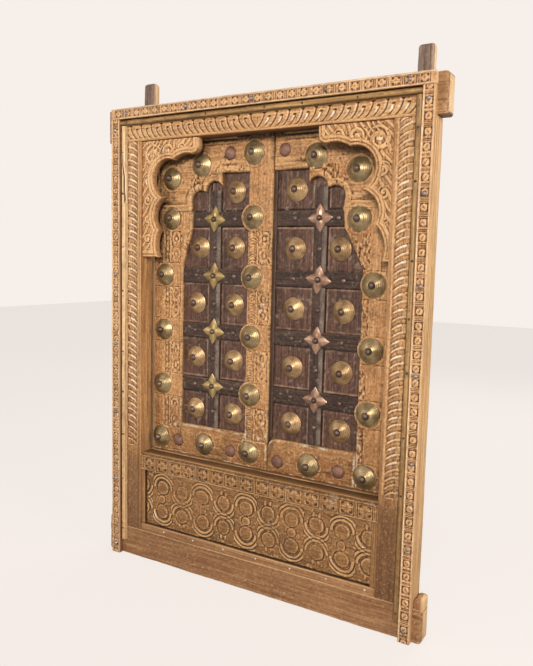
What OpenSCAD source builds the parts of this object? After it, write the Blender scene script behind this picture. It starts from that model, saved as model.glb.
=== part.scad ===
// Carved wooden window: a carved face frame round two pivoted leaves studded with brass bosses.
// Millimetres. x runs across the front, y from front to back, z up from the base.
// The origin is the middle of the base.

/* [Front frame] */
// Width over the two jambs.
frame_w = 640; // [600:2:700]
// Height from the base to the top of the head.
frame_h = 896; // [860:2:980]
// Face width of a jamb.
jamb_w = 66; // [60:1:74]
// Thickness of the jambs, head, sill and middle rail.
frame_t = 34; // [30:1:42]
// Face height of the head.
head_h = 62; // [58:1:70]
// Face height of the sill.
sill_h = 58; // [50:1:70]
// Height of the sill's rear lip over its ledge.
sill_lip = 16; // [10:1:22]
// Face height of the middle rail.
rail_h = 32; // [28:1:40]
// Clear height between the sill ledge and the middle rail.
panel_h = 128; // [116:1:140]
// How far the head and the sill run past the jambs.
horn_len = 16; // [8:1:30]
// Length of the tenons on the jambs.
tenon_len = 26; // [16:1:36]

/* [Face strips and mouldings] */
// Width of the carved face strips.
strip_w = 20; // [16:1:22]
// Thickness of the carved face strips.
strip_t = 11; // [8:1:14]
// Width of the half-round moulding inside the strips.
moulding_w = 12; // [9:1:14]
// Height of the half-round moulding over the jamb face.
moulding_h = 7; // [5:0.5:8]
// Head radius of the nails in the face strips.
strip_nail_r = 4.2; // [3:0.1:5]
// Head height of the nails in the face strips.
strip_nail_h = 2.6; // [2:0.1:3.4]
// Number of nails along each side strip.
strip_nails_side = 7; // [4:1:9]
// Number of nails along the top strip.
strip_nails_top = 5; // [3:1:7]

/* [Bottom panel] */
// Thickness of the carved bottom panel.
panel_t = 10; // [8:0.5:13]
// How far the panel front lies behind the jamb faces.
panel_set = 9; // [7:0.5:12]
// Face width of the side beads round the panel.
bead_w = 10; // [7:0.5:14]
// Face height of the bottom bead.
bead_h = 14; // [10:0.5:18]
// Thickness of the beads.
bead_t = 7; // [5:0.5:8]
// Length of one half wave in the carved ribbons.
wave_half = 49; // [44:0.5:54]

/* [Spandrels] */
// Thickness of the spandrels.
spandrel_t = 17; // [12:1:22]
// How far the spandrel front lies behind the jamb faces.
spandrel_set = 2; // [1:0.5:5]
// Reach of a spandrel along the head.
spandrel_w = 132; // [124:1:145]
// Drop of a spandrel down the jamb.
spandrel_h = 221; // [205:1:240]
// Radius of the two large foils.
foil_r = 36; // [32:0.5:39]

/* [Rear frame] */
// Face width of a rear post.
post_w = 28; // [24:1:34]
// Depth of a rear post.
post_d = 39; // [36:1:46]
// Distance from the outside of a jamb to the outside of its post.
post_inset = 25; // [16:1:30]
// How far the post horns stand over the head.
post_rise = 61; // [30:1:90]
// Thickness of the post horns.
horn_t = 17; // [14:1:20]
// Height of the rear lintel.
lintel_h = 50; // [44:1:54]
// Height of the rear rail.
rear_rail_h = 36; // [32:1:46]

/* [Leaves] */
// Thickness of the leaf boards.
board_t = 19; // [16:1:22]
// Thickness of the carved facings on the boards.
facing_t = 10; // [8:1:12]
// Clearance between the leaf facings and the back of the jambs.
leaf_gap = 3; // [2:0.5:6]
// Clearance over and under each leaf.
leaf_clear = 2; // [1:0.5:4]
// Distance from the opening edge to the pivot axis.
pivot_inset = 4; // [2:0.5:8]
// Radius of the turned pintles.
pintle_r = 7.5; // [6:0.5:8.5]
// Length of the turned pintles.
pintle_len = 24; // [16:1:28]
// Running clearance round a pintle.
pintle_clear = 0.1; // [0.05:0.05:0.1]
// How far the left leaf runs past the middle.
meeting_x = 18.5; // [10:0.5:24]
// Gap between the two leaves.
meeting_gap = 2; // [2:0.5:5]
// Left hanging stile, as a share of the left leaf's width.
left_stile_share = 0.257; // [0.23:0.001:0.28]
// Right hanging stile, as a share of the right leaf's width.
right_stile_share = 0.235; // [0.21:0.001:0.26]
// Stiles at the arched rails, as a share of the left leaf's width.
shoulder_share = 0.346; // [0.32:0.001:0.365]
// Left meeting stile, as a share of the left leaf's width.
meeting_share = 0.184; // [0.17:0.001:0.2]
// Bottom rails, as a share of the leaf height.
low_rail_share = 0.102; // [0.09:0.001:0.115]
// Straight part of the arched rails, as a share of the leaf height.
top_rail_share = 0.109; // [0.1:0.001:0.12]

/* [Battens] */
// Centre battens, as a share of the left leaf's width.
batten_share = 0.093; // [0.08:0.001:0.105]
// Cross battens, as a share of the leaf height.
cross_share = 0.044; // [0.036:0.001:0.05]
// Thickness of the battens.
batten_t = 5; // [4:0.5:6]

/* [Bosses and nails] */
// Radius of the bosses on the facings, as a share of the left leaf's width.
boss_share = 0.082; // [0.07:0.001:0.087]
// Radius of the bosses on the panels, as a share of the left leaf's width.
panel_boss_share = 0.08; // [0.07:0.001:0.084]
// Height of the bosses.
boss_h = 13; // [9:0.5:14]
// Sheet thickness of the bosses.
boss_sheet = 1.2; // [1:0.1:1.6]
// Head radius of the nails through the bosses.
nail_r = 6.8; // [5.5:0.1:7.5]
// Head height of the nails through the bosses.
nail_h = 5.5; // [4:0.5:7]
// Radius of the nail shanks.
shank_r = 2; // [1.5:0.1:2.4]
// Clearance round the nail shanks.
shank_clear = 0.2; // [0.15:0.05:0.4]
// Tip radius of the brass stars, as a share of the left leaf's width.
star_share = 0.095; // [0.08:0.001:0.1]
// Head radius of the iron studs on the rails, as a share of the left leaf's width.
rail_stud_share = 0.05; // [0.04:0.001:0.054]
// Head radius of the small studs on the battens.
batten_stud_r = 5; // [4:0.5:6]

/* [Carving] */
// Width of the carved leaf border.
border_w = 26; // [22:1:28]
// Spacing of the leaves in the border.
leaf_pitch = 24; // [22:0.5:27]
// Depth of the leaf border.
border_d = 3.5; // [2.5:0.5:5]
// Spacing of the carved squares on the face strips.
square_pitch = 22.4; // [21:0.2:25]
// Spacing of the carved squares on the middle rail.
rail_pitch = 33; // [30:0.5:38]
// Depth of the small carving.
relief = 2; // [1.5:0.25:2.5]

/* [Hidden] */
$fn = 40;
eps = 0.01;
y_face = strip_t;
y_back = y_face + frame_t;
y_leaf = y_back + leaf_gap;
y_board = y_leaf + facing_t;
y_leaf_back = y_board + board_t;
depth = y_back + post_d;
jamb_in = frame_w / 2 - jamb_w;
jamb_out = frame_w / 2;
horn_x = jamb_out + horn_len;
z_ledge = sill_h;
z_rail = sill_h + panel_h;
z_rail_top = z_rail + rail_h;
rail_fall = 2;
z_head = frame_h - head_h;
post_out = jamb_out - post_inset;
post_in = post_out - post_w;
rail_back_top = z_rail_top + rail_fall;
leaf_z0 = rail_back_top + leaf_clear;
leaf_z1 = z_head + 4;
leaf_h = leaf_z1 - leaf_z0;
lintel_z = leaf_z1 + leaf_clear;
lap_y = depth - horn_t;
pivot_x = jamb_in - pivot_inset;
pivot_y = y_board + board_t / 2;
heel_r = board_t / 2;
socket_r = pintle_r + pintle_clear;
left_u = pivot_x + meeting_x;
right_u = pivot_x - meeting_x - meeting_gap;
meeting_w = meeting_share * left_u;
left_end = left_u - meeting_w;
// A millimetre across and up the leaf, which grows with the leaf.
mu = left_u / 268.5;
mz = leaf_h / 616;
low_rail_h = low_rail_share * leaf_h;
top_rail_h = top_rail_share * leaf_h;
low_z = leaf_z0 + low_rail_h;
high_z = leaf_z1 - top_rail_h;
joint_z = high_z - 69 * mz;
left_stile_w = left_stile_share * left_u;
right_stile_w = right_stile_share * right_u;
shoulder_w = shoulder_share * left_u;
batten_w = batten_share * left_u;
cross_h = cross_share * leaf_h;
boss_r = boss_share * left_u;
panel_boss_r = panel_boss_share * left_u;
star_r = star_share * left_u;
rail_stud_r = rail_stud_share * left_u;
hole_r = shank_r + shank_clear;
shank_len = facing_t + 0.7 * board_t;
panel_shank = 0.7 * board_t;
tenon_t = frame_t / 3;
tenon_w = jamb_w / 2;
tenon_play = 0.3;
lip_y = y_face + panel_set + panel_t;
border_x = jamb_out - strip_w - moulding_w - border_w;
border_z = frame_h - strip_w - moulding_w - border_w;
inner_z = frame_h - strip_w;
// Batten and boss places, measured from the pivot axis.
bead_u = 6 * mu;
lobe = 4 * mu;
ease = 18 * mu;
left_batten = left_stile_w + 0.49 * (left_end - left_stile_w);
right_batten = right_stile_w + 0.49 * (right_u - bead_u - right_stile_w);
star_pitch = 106.5 * mz;
star_zs = [for (i = [0:3]) leaf_z0 + 145 * mz + i * star_pitch];
boss_rows = [star_zs[0] - 50 * mz, star_zs[0] + star_pitch / 2, star_zs[1] + star_pitch / 2,
    star_zs[2] + star_pitch / 2, star_zs[3] + 50 * mz];
row_pitch = 109.5 * mz;
left_rows = [for (i = [0:4]) leaf_z0 + 29 * mz + i * row_pitch];
right_rows = [for (i = [0:4]) leaf_z0 + 24 * mz + i * row_pitch];
meeting_boss = left_end + 11 * mu;
left_frame_bosses_at = concat(
    [for (i = [0:3]) [(22 + 2 * i) * mu, left_rows[i]]],
    [[46 * mu, left_rows[4]], [45 * mu, leaf_z1 - 73 * mz], [114 * mu, leaf_z1 - 51 * mz]],
    [for (i = [0:4]) [meeting_boss, left_rows[i]]],
    [[meeting_boss, leaf_z1 - 34 * mz], [129 * mu, leaf_z0 + 28 * mz]]);
right_edge_bosses_at = [for (i = [0:3]) [(35 - i) * mu, right_rows[i]]];
right_frame_bosses_at = concat(right_edge_bosses_at,
    [[63 * mu, right_rows[4]], [66 * mu, leaf_z1 - 73 * mz], [145 * mu, leaf_z1 - 47 * mz],
    [143 * mu, leaf_z0 + 26 * mz]]);
left_rail_studs_at = [[177 * mu, leaf_z1 - 32 * mz], [left_stile_w - 5 * mu, leaf_z0 + 27 * mz],
    [190 * mu, leaf_z0 + 25 * mz]];
right_rail_studs_at = [[right_u - 22 * mu, leaf_z1 - 33 * mz], [right_u - 22 * mu, leaf_z0 + 22 * mz],
    [85 * mu, leaf_z0 + 25 * mz]];
left_cols = [(left_stile_w + left_batten - batten_w / 2) / 2, (left_end + left_batten + batten_w / 2) / 2];
right_cols = [(right_stile_w + right_batten - batten_w / 2) / 2,
    (right_u - bead_u + right_batten + batten_w / 2) / 2];
function panel_bosses_at(cols, at) = concat(
    [for (i = [0:2]) [cols[0], boss_rows[i]]],
    [[min(cols[0] + 10 * mu, at - batten_w / 2 - panel_boss_r - 1), boss_rows[3]]],
    [for (i = [0:4]) [cols[1], boss_rows[i]]]);
function batten_studs_at(cols, at) = concat(
    [for (i = [0:2]) [cols[0], star_zs[i]]],
    [[(shoulder_w + at - star_r) / 2, star_zs[3]]],
    [for (z = star_zs) [cols[1], z]],
    [for (i = [0:3]) [at, boss_rows[i]]]);
function stars_at(at) = [for (z = star_zs) [at, z]];
strip_nail_z = [for (i = [0:strip_nails_side - 1])
    20 + i * (inner_z - 40) / (strip_nails_side - 1)];
strip_nail_x = [for (i = [0:strip_nails_top - 1])
    -jamb_out + 40 + i * (frame_w - 80) / (strip_nails_top - 1)];
// Foils of a spandrel: distance in from the jamb, distance down from the head, radius.
right_foils = [[104, 80, 52], [66, 72, foil_r], [58, 142, foil_r], [62, 200, 52]];
left_foils = [[104, 80, 52], [60, 72, foil_r], [64, 142, foil_r], [84, 196, 52]];

wood = [0.76, 0.55, 0.33];
dark_wood = [0.32, 0.22, 0.17];
grey_wood = [0.45, 0.36, 0.29];
brass = [0.66, 0.54, 0.30];
iron = [0.33, 0.29, 0.28];

// Depth is counted from the face of the strips; the part is centred between nail heads and back.
module place() {
    translate([0, -(depth - strip_nail_h) / 2, 0]) children();
}

// A flat shape drawn in x and z, given thickness from y0 back to y1.
module slab(y0, y1) {
    translate([0, y1, 0]) rotate([90, 0, 0]) linear_extrude(y1 - y0) children();
}

module bar(x0, x1, y0, y1, z0, z1) {
    translate([x0, y0, z0]) cube([x1 - x0, y1 - y0, z1 - z0]);
}

// Leaf shapes are drawn from the pivot axis towards the meeting edge.
module on_left() {
    translate([-pivot_x, 0, 0]) children();
}

module on_right() {
    translate([pivot_x, 0, 0]) mirror([1, 0, 0]) children();
}

// Repeating carving

// Curled leaves that rise to the face inside a sunk border; u along, v across.
module border_leaves(len, first) {
    n = floor((len - first) / leaf_pitch);
    intersection() {
        translate([0, 0.6]) square([len, border_w - 1.2]);
        union() {
            for (i = [0:n]) translate([first + i * leaf_pitch, border_w]) {
                difference() {
                    circle(r = border_w * 0.98);
                    circle(r = border_w * 0.72);
                    translate([-2 * border_w, -2 * border_w]) square([2 * border_w, 4 * border_w]);
                }
                difference() {
                    circle(r = border_w * 0.55);
                    circle(r = border_w * 0.3);
                    translate([-2 * border_w, -2 * border_w]) square([2 * border_w, 4 * border_w]);
                }
            }
        }
    }
}

// Sunk square frames that leave a raised rosette in the middle.
module square_cells(n, pitch, w, first) {
    for (i = [0:n - 1]) translate([first + i * pitch, 0]) {
        difference() {
            translate([-w / 2, -w / 2]) square([w, w]);
            circle(r = w * 0.36);
        }
    }
}

// Two nested half rings, the ribbon of one half wave.
module ribbon(up) {
    r = wave_half / 2;
    for (k = [0, 1]) difference() {
        circle(r = r - 6 * k + 1.4);
        circle(r = r - 6 * k - 1.4);
        translate([-2 * r, up ? -4 * r : 0]) square([4 * r, 4 * r]);
    }
}

// Rings and drops that stand between the ribbons.
module flower(r) {
    difference() {
        circle(r = r);
        circle(r = r * 0.62);
    }
    circle(r = r * 0.34);
}

// A scroll: two rings and a stem, standing along z.
module scroll(w, h) {
    translate([0, h / 2 - w / 2]) flower(w / 2);
    translate([0, w / 2 - h / 2]) flower(w / 2);
    translate([-w / 8, w - h / 2 - 1]) square([w / 4, h - 2 * w + 2]);
}

// Domed nail with its shank, pointing to the front from its seat at z = 0.
module dome2d(r, h) {
    big = (r * r + h * h) / (2 * h);
    intersection() {
        translate([0, h - big]) circle(r = big);
        square([r, h]);
    }
}

module nail(r, h, len) {
    rotate([90, 0, 0]) rotate_extrude() union() {
        dome2d(r, h);
        translate([0, -len]) square([shank_r, len + eps]);
    }
}

module nails(points, y, r, h, len) {
    for (p = points) translate([p[0], y, p[1]]) nail(r, h, len);
}

module nail_holes(points, y, len) {
    for (p = points) translate([p[0], y + len + 0.5, p[1]]) rotate([90, 0, 0])
        cylinder(r = hole_r, h = len + 1.5);
}

// Spun brass dome, open behind, flat where its nail head sits.
function dome_radius(r) = (r * r + boss_h * boss_h) / (2 * boss_h);
function boss_seat(r) = sqrt(pow(dome_radius(r), 2) - nail_r * nail_r) - dome_radius(r) + boss_h;

module boss(r) {
    big = dome_radius(r);
    rotate([90, 0, 0]) rotate_extrude() intersection() {
        difference() {
            translate([0, boss_h - big]) circle(r = big, $fn = 80);
            translate([0, boss_h - big]) circle(r = big - boss_sheet, $fn = 80);
        }
        translate([hole_r, 0]) square([r - hole_r, boss_seat(r)]);
    }
}

module bosses(points, y, r) {
    for (p = points) translate([p[0], y, p[1]]) boss(r);
}

// Four-petalled star cut from thick sheet, highest under its nail.
module star2d(r) {
    polygon([for (i = [0:7]) let (q = i % 2 == 0 ? r : r * 0.5) [q * cos(45 * i), q * sin(45 * i)]]);
}

module star(r) {
    rotate([90, 0, 0]) difference() {
        union() {
            linear_extrude(1.2) star2d(r);
            translate([0, 0, 1.2 - eps]) linear_extrude(3.3, scale = 0.4) star2d(r);
        }
        translate([0, 0, -1]) cylinder(r = hole_r, h = 8);
    }
}
star_seat = 4.5 - eps;

// Front frame

module jamb() {
    difference() {
        union() {
            bar(jamb_in, jamb_out, y_face, y_back, z_ledge, z_head);
            bar(jamb_in + jamb_w / 4, jamb_in + jamb_w / 4 + tenon_w, y_face + tenon_t,
                y_face + 2 * tenon_t, z_ledge - tenon_len, z_head + tenon_len);
        }
        bar(border_x, border_x + border_w, y_face - 1, y_face + border_d, z_rail_top + 16, z_head + 1);
    }
    len = z_head - z_rail_top - 16;
    translate([border_x, 0, z_rail_top + 16]) slab(y_face, y_face + border_d + 0.5)
        mirror([1, -1]) border_leaves(len, -leaf_pitch / 3);
}

module left_jamb() color(wood) place() mirror([1, 0, 0]) jamb();

module right_jamb() color(wood) place() jamb();

module mortises(z0, z1) {
    for (s = [0, 1]) mirror([s, 0, 0])
        bar(jamb_in + jamb_w / 4 - tenon_play, jamb_in + jamb_w / 4 + tenon_w + tenon_play,
            y_face + tenon_t - tenon_play, y_face + 2 * tenon_t + tenon_play, z0, z1);
}

module head_beam() color(wood) place() {
    run = border_x + border_w;
    difference() {
        bar(-horn_x, horn_x, y_face, y_back, z_head, frame_h);
        mortises(z_head - 1, z_head + tenon_len + 1);
        bar(-run, run, y_face - 1, y_face + border_d, border_z, border_z + border_w);
    }
    for (s = [0, 1]) mirror([s, 0, 0]) translate([0, 0, border_z])
        slab(y_face, y_face + border_d + 0.5) border_leaves(run, 1);
}

module sill_beam() color(wood) place() difference() {
    bar(-horn_x, horn_x, y_face, y_back, 0, z_ledge + sill_lip);
    bar(-jamb_in, jamb_in, y_face - 1, lip_y, z_ledge, z_ledge + sill_lip + 1);
    for (s = [0, 1]) mirror([s, 0, 0])
        bar(jamb_in - eps, jamb_out, y_face - 1, y_back + 1, z_ledge, z_ledge + sill_lip + 1);
    mortises(z_ledge - tenon_len - 1, z_ledge + 1);
}

module middle_rail() color(wood) place() {
    cells = floor((2 * jamb_in - 8) / rail_pitch);
    difference() {
        translate([-jamb_in, 0, 0]) rotate([90, 0, 90]) linear_extrude(2 * jamb_in)
            polygon([[y_face, z_rail], [lip_y, z_rail], [lip_y, z_rail - sill_lip],
                [y_back, z_rail - sill_lip], [y_back, rail_back_top], [y_face + 6, rail_back_top],
                [y_face, z_rail_top - 3]]);
        translate([0, 0, z_rail + rail_h / 2 - 2]) slab(y_face - 1, y_face + relief)
            square_cells(cells, rail_pitch, min(rail_h - 11, rail_pitch - 7), -(cells - 1) / 2 * rail_pitch);
    }
}

module carved_panel() color(wood) place() {
    y0 = y_face + panel_set;
    z_mid = (z_ledge + bead_h + z_rail) / 2;
    field_w = jamb_in - bead_w - 2;
    field_z0 = z_ledge + bead_h + 2;
    bar(-jamb_in, jamb_in, y0, lip_y, z_ledge, z_rail);
    slab(y0 - relief, y0 + 0.5) intersection() {
        translate([-field_w, field_z0]) square([2 * field_w, z_rail - field_z0 - 3]);
        union() {
            for (s = [-1, 1]) for (i = [-5:5]) {
                high = (i % 2 == 0);
                translate([-6 + i * wave_half, z_mid + s * wave_half / 2]) {
                    ribbon(s > 0 ? high : !high);
                    flower(wave_half * 0.27);
                }
            }
            for (i = [-4:2:4]) translate([-6 + i * wave_half, z_mid]) circle(r = wave_half * 0.13);
        }
    }
}

module side_bead() {
    y1 = y_face + panel_set;
    bar(jamb_in - bead_w, jamb_in, y1 - bead_t, y1, z_ledge + bead_h, z_rail);
}

module left_panel_bead() color(wood) place() mirror([1, 0, 0]) side_bead();

module right_panel_bead() color(wood) place() side_bead();

module bottom_panel_bead() color(wood) place() {
    y1 = y_face + panel_set;
    bar(-jamb_in, jamb_in, y1 - bead_t, y1, z_ledge, z_ledge + bead_h);
}

module side_strip() {
    n = floor((inner_z - 12) / square_pitch);
    difference() {
        bar(jamb_out - strip_w, jamb_out, 0, strip_t, 0, inner_z);
        translate([jamb_out - strip_w / 2, 0, inner_z / 2]) slab(-1, relief) rotate(90)
            square_cells(n, square_pitch, strip_w - 6, -(n - 1) / 2 * square_pitch);
        nail_holes([for (z = strip_nail_z) [jamb_out - strip_w / 2, z]], 0, strip_t);
    }
}

module left_face_strip() color(wood) place() mirror([1, 0, 0]) side_strip();

module right_face_strip() color(wood) place() side_strip();

module top_face_strip() color(wood) place() {
    n = floor((frame_w - 8) / square_pitch);
    difference() {
        bar(-jamb_out, jamb_out, 0, strip_t, inner_z, frame_h);
        translate([0, 0, frame_h - strip_w / 2]) slab(-1, relief)
            square_cells(n, square_pitch, strip_w - 6, -(n - 1) / 2 * square_pitch);
        nail_holes([for (x = strip_nail_x) [x, frame_h - strip_w / 2]], 0, strip_t);
    }
}

// Half-round section with its flat on the jamb face.
module moulding2d() {
    intersection() {
        translate([-moulding_w / 2, 0]) square([moulding_w, moulding_h]);
        translate([0, moulding_h - moulding_w * 0.55]) circle(r = moulding_w * 0.55);
    }
}

module side_moulding() {
    translate([jamb_out - strip_w - moulding_w / 2, y_face, 30])
        linear_extrude(inner_z - moulding_w - 30) mirror([0, 1]) moulding2d();
}

module left_moulding() color(wood) place() mirror([1, 0, 0]) side_moulding();

module right_moulding() color(wood) place() side_moulding();

module top_moulding() color(wood) place() {
    translate([strip_w - jamb_out, y_face, inner_z - moulding_w / 2]) rotate([90, 0, 90])
        linear_extrude(frame_w - 2 * strip_w) rotate(90) moulding2d();
}

// Bracket with foiled edge; grow steps the edge back for the raised border.
module spandrel2d(grow, foils) {
    difference() {
        union() {
            translate([jamb_in - spandrel_w + 14, z_head - spandrel_h])
                square([spandrel_w - 14, spandrel_h]);
            translate([jamb_in - spandrel_w, z_head - 15]) square([15, 15]);
            translate([jamb_in - spandrel_w + 14, z_head - 15]) circle(r = 14);
        }
        for (f = foils) translate([jamb_in - f[0], z_head - f[1]]) circle(r = f[2] + grow, $fn = 64);
        translate([jamb_in - spandrel_w - 1, z_head - spandrel_h - 1])
            square([spandrel_w - foils[3][0] + 8, spandrel_h - foils[1][1]]);
        translate([jamb_in - foils[0][0] - 46, z_head - foils[1][1] - 2]) square([20, 32]);
        if (grow > 0) {
            translate([jamb_in - spandrel_w - 1, z_head - 40]) square([grow + 1, 50]);
            translate([jamb_in - spandrel_w, z_head - spandrel_h - 1]) square([spandrel_w, grow + 1]);
        }
    }
}

module spandrel(foils) {
    y0 = y_face + spandrel_set;
    slab(y0 + 2 * relief, y0 + spandrel_t) spandrel2d(0, foils);
    slab(y0 + relief, y0 + 2 * relief + 0.5) spandrel2d(4, foils);
    slab(y0, y0 + relief + 0.5) intersection() {
        spandrel2d(9, foils);
        union() {
            for (p = [[24, 26, 17], [62, 22, 13], [94, 17, 9], [17, 76, 12], [15, 148, 9], [13, 108, 8]])
                translate([jamb_in - p[0], z_head - p[1]]) flower(p[2]);
        }
    }
}

module left_spandrel() color(wood) place() mirror([1, 0, 0]) spandrel(left_foils);

module right_spandrel() color(wood) place() spandrel(right_foils);

module face_strip_nails() color(iron) place() {
    for (s = [-1, 1])
        nails([for (z = strip_nail_z) [s * (jamb_out - strip_w / 2), z]], 0, strip_nail_r, strip_nail_h,
            strip_t - 1);
    nails([for (x = strip_nail_x) [x, frame_h - strip_w / 2]], 0, strip_nail_r, strip_nail_h, strip_t - 1);
}

// Rear frame that carries the pintles

module post() {
    bar(post_in, post_out, y_back, depth, 0, lintel_z);
    bar(post_in, post_out, lap_y, depth, lintel_z - eps, frame_h + post_rise);
}

module left_post() color(grey_wood) place() mirror([1, 0, 0]) post();

module right_post() color(grey_wood) place() post();

module sockets(z0, z1) {
    for (s = [-1, 1]) translate([s * pivot_x, pivot_y, z0]) cylinder(r = socket_r, h = z1 - z0);
}

module rear_lintel() color(wood) place() difference() {
    union() {
        bar(-post_in, post_in, y_back, depth, lintel_z, lintel_z + lintel_h);
        bar(-post_out, post_out, y_back, lap_y, lintel_z, lintel_z + lintel_h);
    }
    sockets(lintel_z - 1, leaf_z1 + pintle_len + 1);
}

module rear_rail() color(wood) place() difference() {
    bar(-post_in, post_in, y_back, depth, rail_back_top - rear_rail_h, rail_back_top);
    sockets(leaf_z0 - pintle_len - 1, rail_back_top + 1);
}

// Leaves, drawn from the pivot axis

module board(end, holes, shallow, mids) {
    difference() {
        union() {
            bar(0, end, y_board, y_leaf_back, leaf_z0, leaf_z1);
            translate([0, pivot_y, leaf_z0]) cylinder(r = heel_r, h = leaf_h);
            translate([0, pivot_y, leaf_z0 - pintle_len])
                cylinder(r = pintle_r, h = leaf_h + 2 * pintle_len);
        }
        nail_holes(holes, y_leaf, shank_len);
        nail_holes(shallow, y_board, panel_shank);
        nail_holes(mids, y_board - batten_t, batten_t + panel_shank);
    }
}

module left_board() color(dark_wood) place() on_left()
    board(left_u, concat(left_frame_bosses_at, left_rail_studs_at),
        panel_bosses_at(left_cols, left_batten),
        concat(stars_at(left_batten), batten_studs_at(left_cols, left_batten)));

module right_board() color(dark_wood) place() on_right()
    board(right_u, concat(right_frame_bosses_at, right_rail_studs_at),
        panel_bosses_at(right_cols, right_batten),
        concat(stars_at(right_batten), batten_studs_at(right_cols, right_batten)));

module hanging_stile(w, holes, lobes) {
    slope_z = joint_z - 102 * mz;
    difference() {
        slab(y_leaf, y_board) difference() {
            union() {
                polygon([[0, leaf_z0], [w, leaf_z0], [w, slope_z], [(w + shoulder_w) / 2, slope_z + 40 * mz],
                    [shoulder_w - 3 * mu, slope_z + 70 * mz], [shoulder_w, joint_z], [0, joint_z]]);
                for (p = lobes) translate(p) circle(r = boss_r + lobe);
            }
            translate([-50, leaf_z0]) square([50, leaf_h]);
        }
        nail_holes(holes, y_leaf, shank_len);
    }
}

module stile_scrolls(u, w, rows) {
    for (i = [0:len(rows) - 2])
        translate([u, (rows[i] + rows[i + 1]) / 2]) scroll(w, row_pitch - 2 * boss_r - 10 * mz);
}

module left_hanging_stile() color(wood) place() on_left() {
    hanging_stile(left_stile_w, concat(left_frame_bosses_at, left_rail_studs_at), []);
    slab(y_leaf - relief, y_leaf + 0.5)
        stile_scrolls(left_stile_w - 20 * mu, 20 * mz, [for (i = [0:3]) left_rows[i]]);
}

module right_hanging_stile() color(wood) place() on_right() {
    hanging_stile(right_stile_w, concat(right_frame_bosses_at, right_rail_studs_at), right_lobes);
    slab(y_leaf - relief, y_leaf + 0.5)
        stile_scrolls(right_stile_w - 20 * mu, 20 * mz, [for (i = [0:3]) right_rows[i]]);
}

module left_meeting_stile() color(wood) place() on_left() {
    difference() {
        slab(y_leaf, y_board) intersection() {
            union() {
                translate([left_end, leaf_z0]) square([meeting_w, leaf_h]);
                for (p = left_lobes) translate(p) circle(r = boss_r + lobe);
            }
            translate([0, leaf_z0]) square([left_u, leaf_h]);
        }
        nail_holes(left_frame_bosses_at, y_leaf, shank_len);
    }
    slab(y_leaf - relief, y_leaf + 0.5) stile_scrolls(left_end + 24 * mu, 20 * mz, left_rows);
}

// Arched rail with two foils where it meets the hanging stile.
module top_rail(end, holes) {
    foil = 18.5 * min(mu, mz);
    difference() {
        slab(y_leaf, y_board) difference() {
            union() {
                translate([0, joint_z]) square([shoulder_w, leaf_z1 - joint_z]);
                translate([0, joint_z + 20 * mz]) square([end, leaf_z1 - joint_z - 20 * mz]);
            }
            translate([shoulder_w + 17 * mu, joint_z + 20 * mz]) circle(r = foil);
            translate([shoulder_w + 50 * mu, joint_z + 36 * mz]) circle(r = foil);
            translate([shoulder_w + 17 * mu, joint_z + 19 * mz]) square([end, 17 * mz]);
            translate([shoulder_w + 67 * mu, joint_z + 19 * mz]) square([end, high_z - joint_z - 19 * mz]);
        }
        nail_holes(holes, y_leaf, shank_len);
    }
}

module left_top_rail() color(wood) place() on_left() {
    top_rail(left_end, concat(left_frame_bosses_at, left_rail_studs_at));
    slab(y_leaf - relief, y_leaf + 0.5) translate([79 * mu, leaf_z1 - 62 * mz]) flower(9 * mu);
}

module right_top_rail() color(wood) place() on_right() {
    top_rail(right_u, concat(right_frame_bosses_at, right_rail_studs_at));
    slab(y_leaf - relief, y_leaf + 0.5) translate([105 * mu, leaf_z1 - 62 * mz]) flower(9 * mu);
}

module left_bottom_rail() color(wood) place() on_left() difference() {
    bar(left_stile_w, left_end, y_leaf, y_board, leaf_z0, low_z);
    nail_holes(concat(left_frame_bosses_at, left_rail_studs_at), y_leaf, shank_len);
}

module right_bottom_rail() color(wood) place() on_right() difference() {
    slab(y_leaf, y_board) union() {
        translate([right_stile_w, leaf_z0]) square([right_u - right_stile_w - ease, low_rail_h]);
        translate([right_stile_w, leaf_z0]) square([right_u - right_stile_w, low_rail_h - ease]);
        translate([right_u - ease, low_z - ease]) circle(r = ease);
    }
    nail_holes(concat(right_frame_bosses_at, right_rail_studs_at), y_leaf, shank_len);
}

module right_meeting_bead() color(dark_wood) place() on_right()
    bar(right_u - bead_u, right_u, y_board - batten_t, y_board, low_z, high_z);

// Battens halved together where they cross.
module centre_batten(cols, at) {
    y0 = y_board - batten_t;
    difference() {
        bar(at - batten_w / 2, at + batten_w / 2, y0, y_board, low_z, joint_z + 38 * mz);
        for (z = star_zs) bar(0, left_u, y0 - 1, y_board - batten_t / 2, z - cross_h / 2, z + cross_h / 2);
        nail_holes(concat(stars_at(at), batten_studs_at(cols, at)), y0, batten_t);
    }
}

module cross_batten(i, u0, u1, cols, at, lobes) {
    y0 = y_board - batten_t;
    z = star_zs[i];
    difference() {
        bar(u0, u1, y0, y_board, z - cross_h / 2, z + cross_h / 2);
        bar(at - batten_w / 2, at + batten_w / 2, y_board - batten_t / 2, y_board + 1,
            z - cross_h, z + cross_h);
        nail_holes(concat(stars_at(at), batten_studs_at(cols, at)), y0, batten_t);
        for (p = lobes) translate([p[0], y_board + 1, p[1]]) rotate([90, 0, 0])
            cylinder(r = boss_r + lobe + 0.5, h = batten_t + 2);
    }
}

left_lobes = [for (i = [1:4]) [meeting_boss, left_rows[i]]];
right_lobes = [for (i = [1:3]) right_edge_bosses_at[i]];
left_ends = [left_stile_w, left_stile_w, left_stile_w, shoulder_w];
right_ends = [right_stile_w, right_stile_w, right_stile_w, shoulder_w];

module left_centre_batten() color(dark_wood) place() on_left() centre_batten(left_cols, left_batten);

module left_cross(i) color(dark_wood) place() on_left()
    cross_batten(i, left_ends[i], left_end, left_cols, left_batten, left_lobes);

module right_centre_batten() color(dark_wood) place() on_right() centre_batten(right_cols, right_batten);

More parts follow.
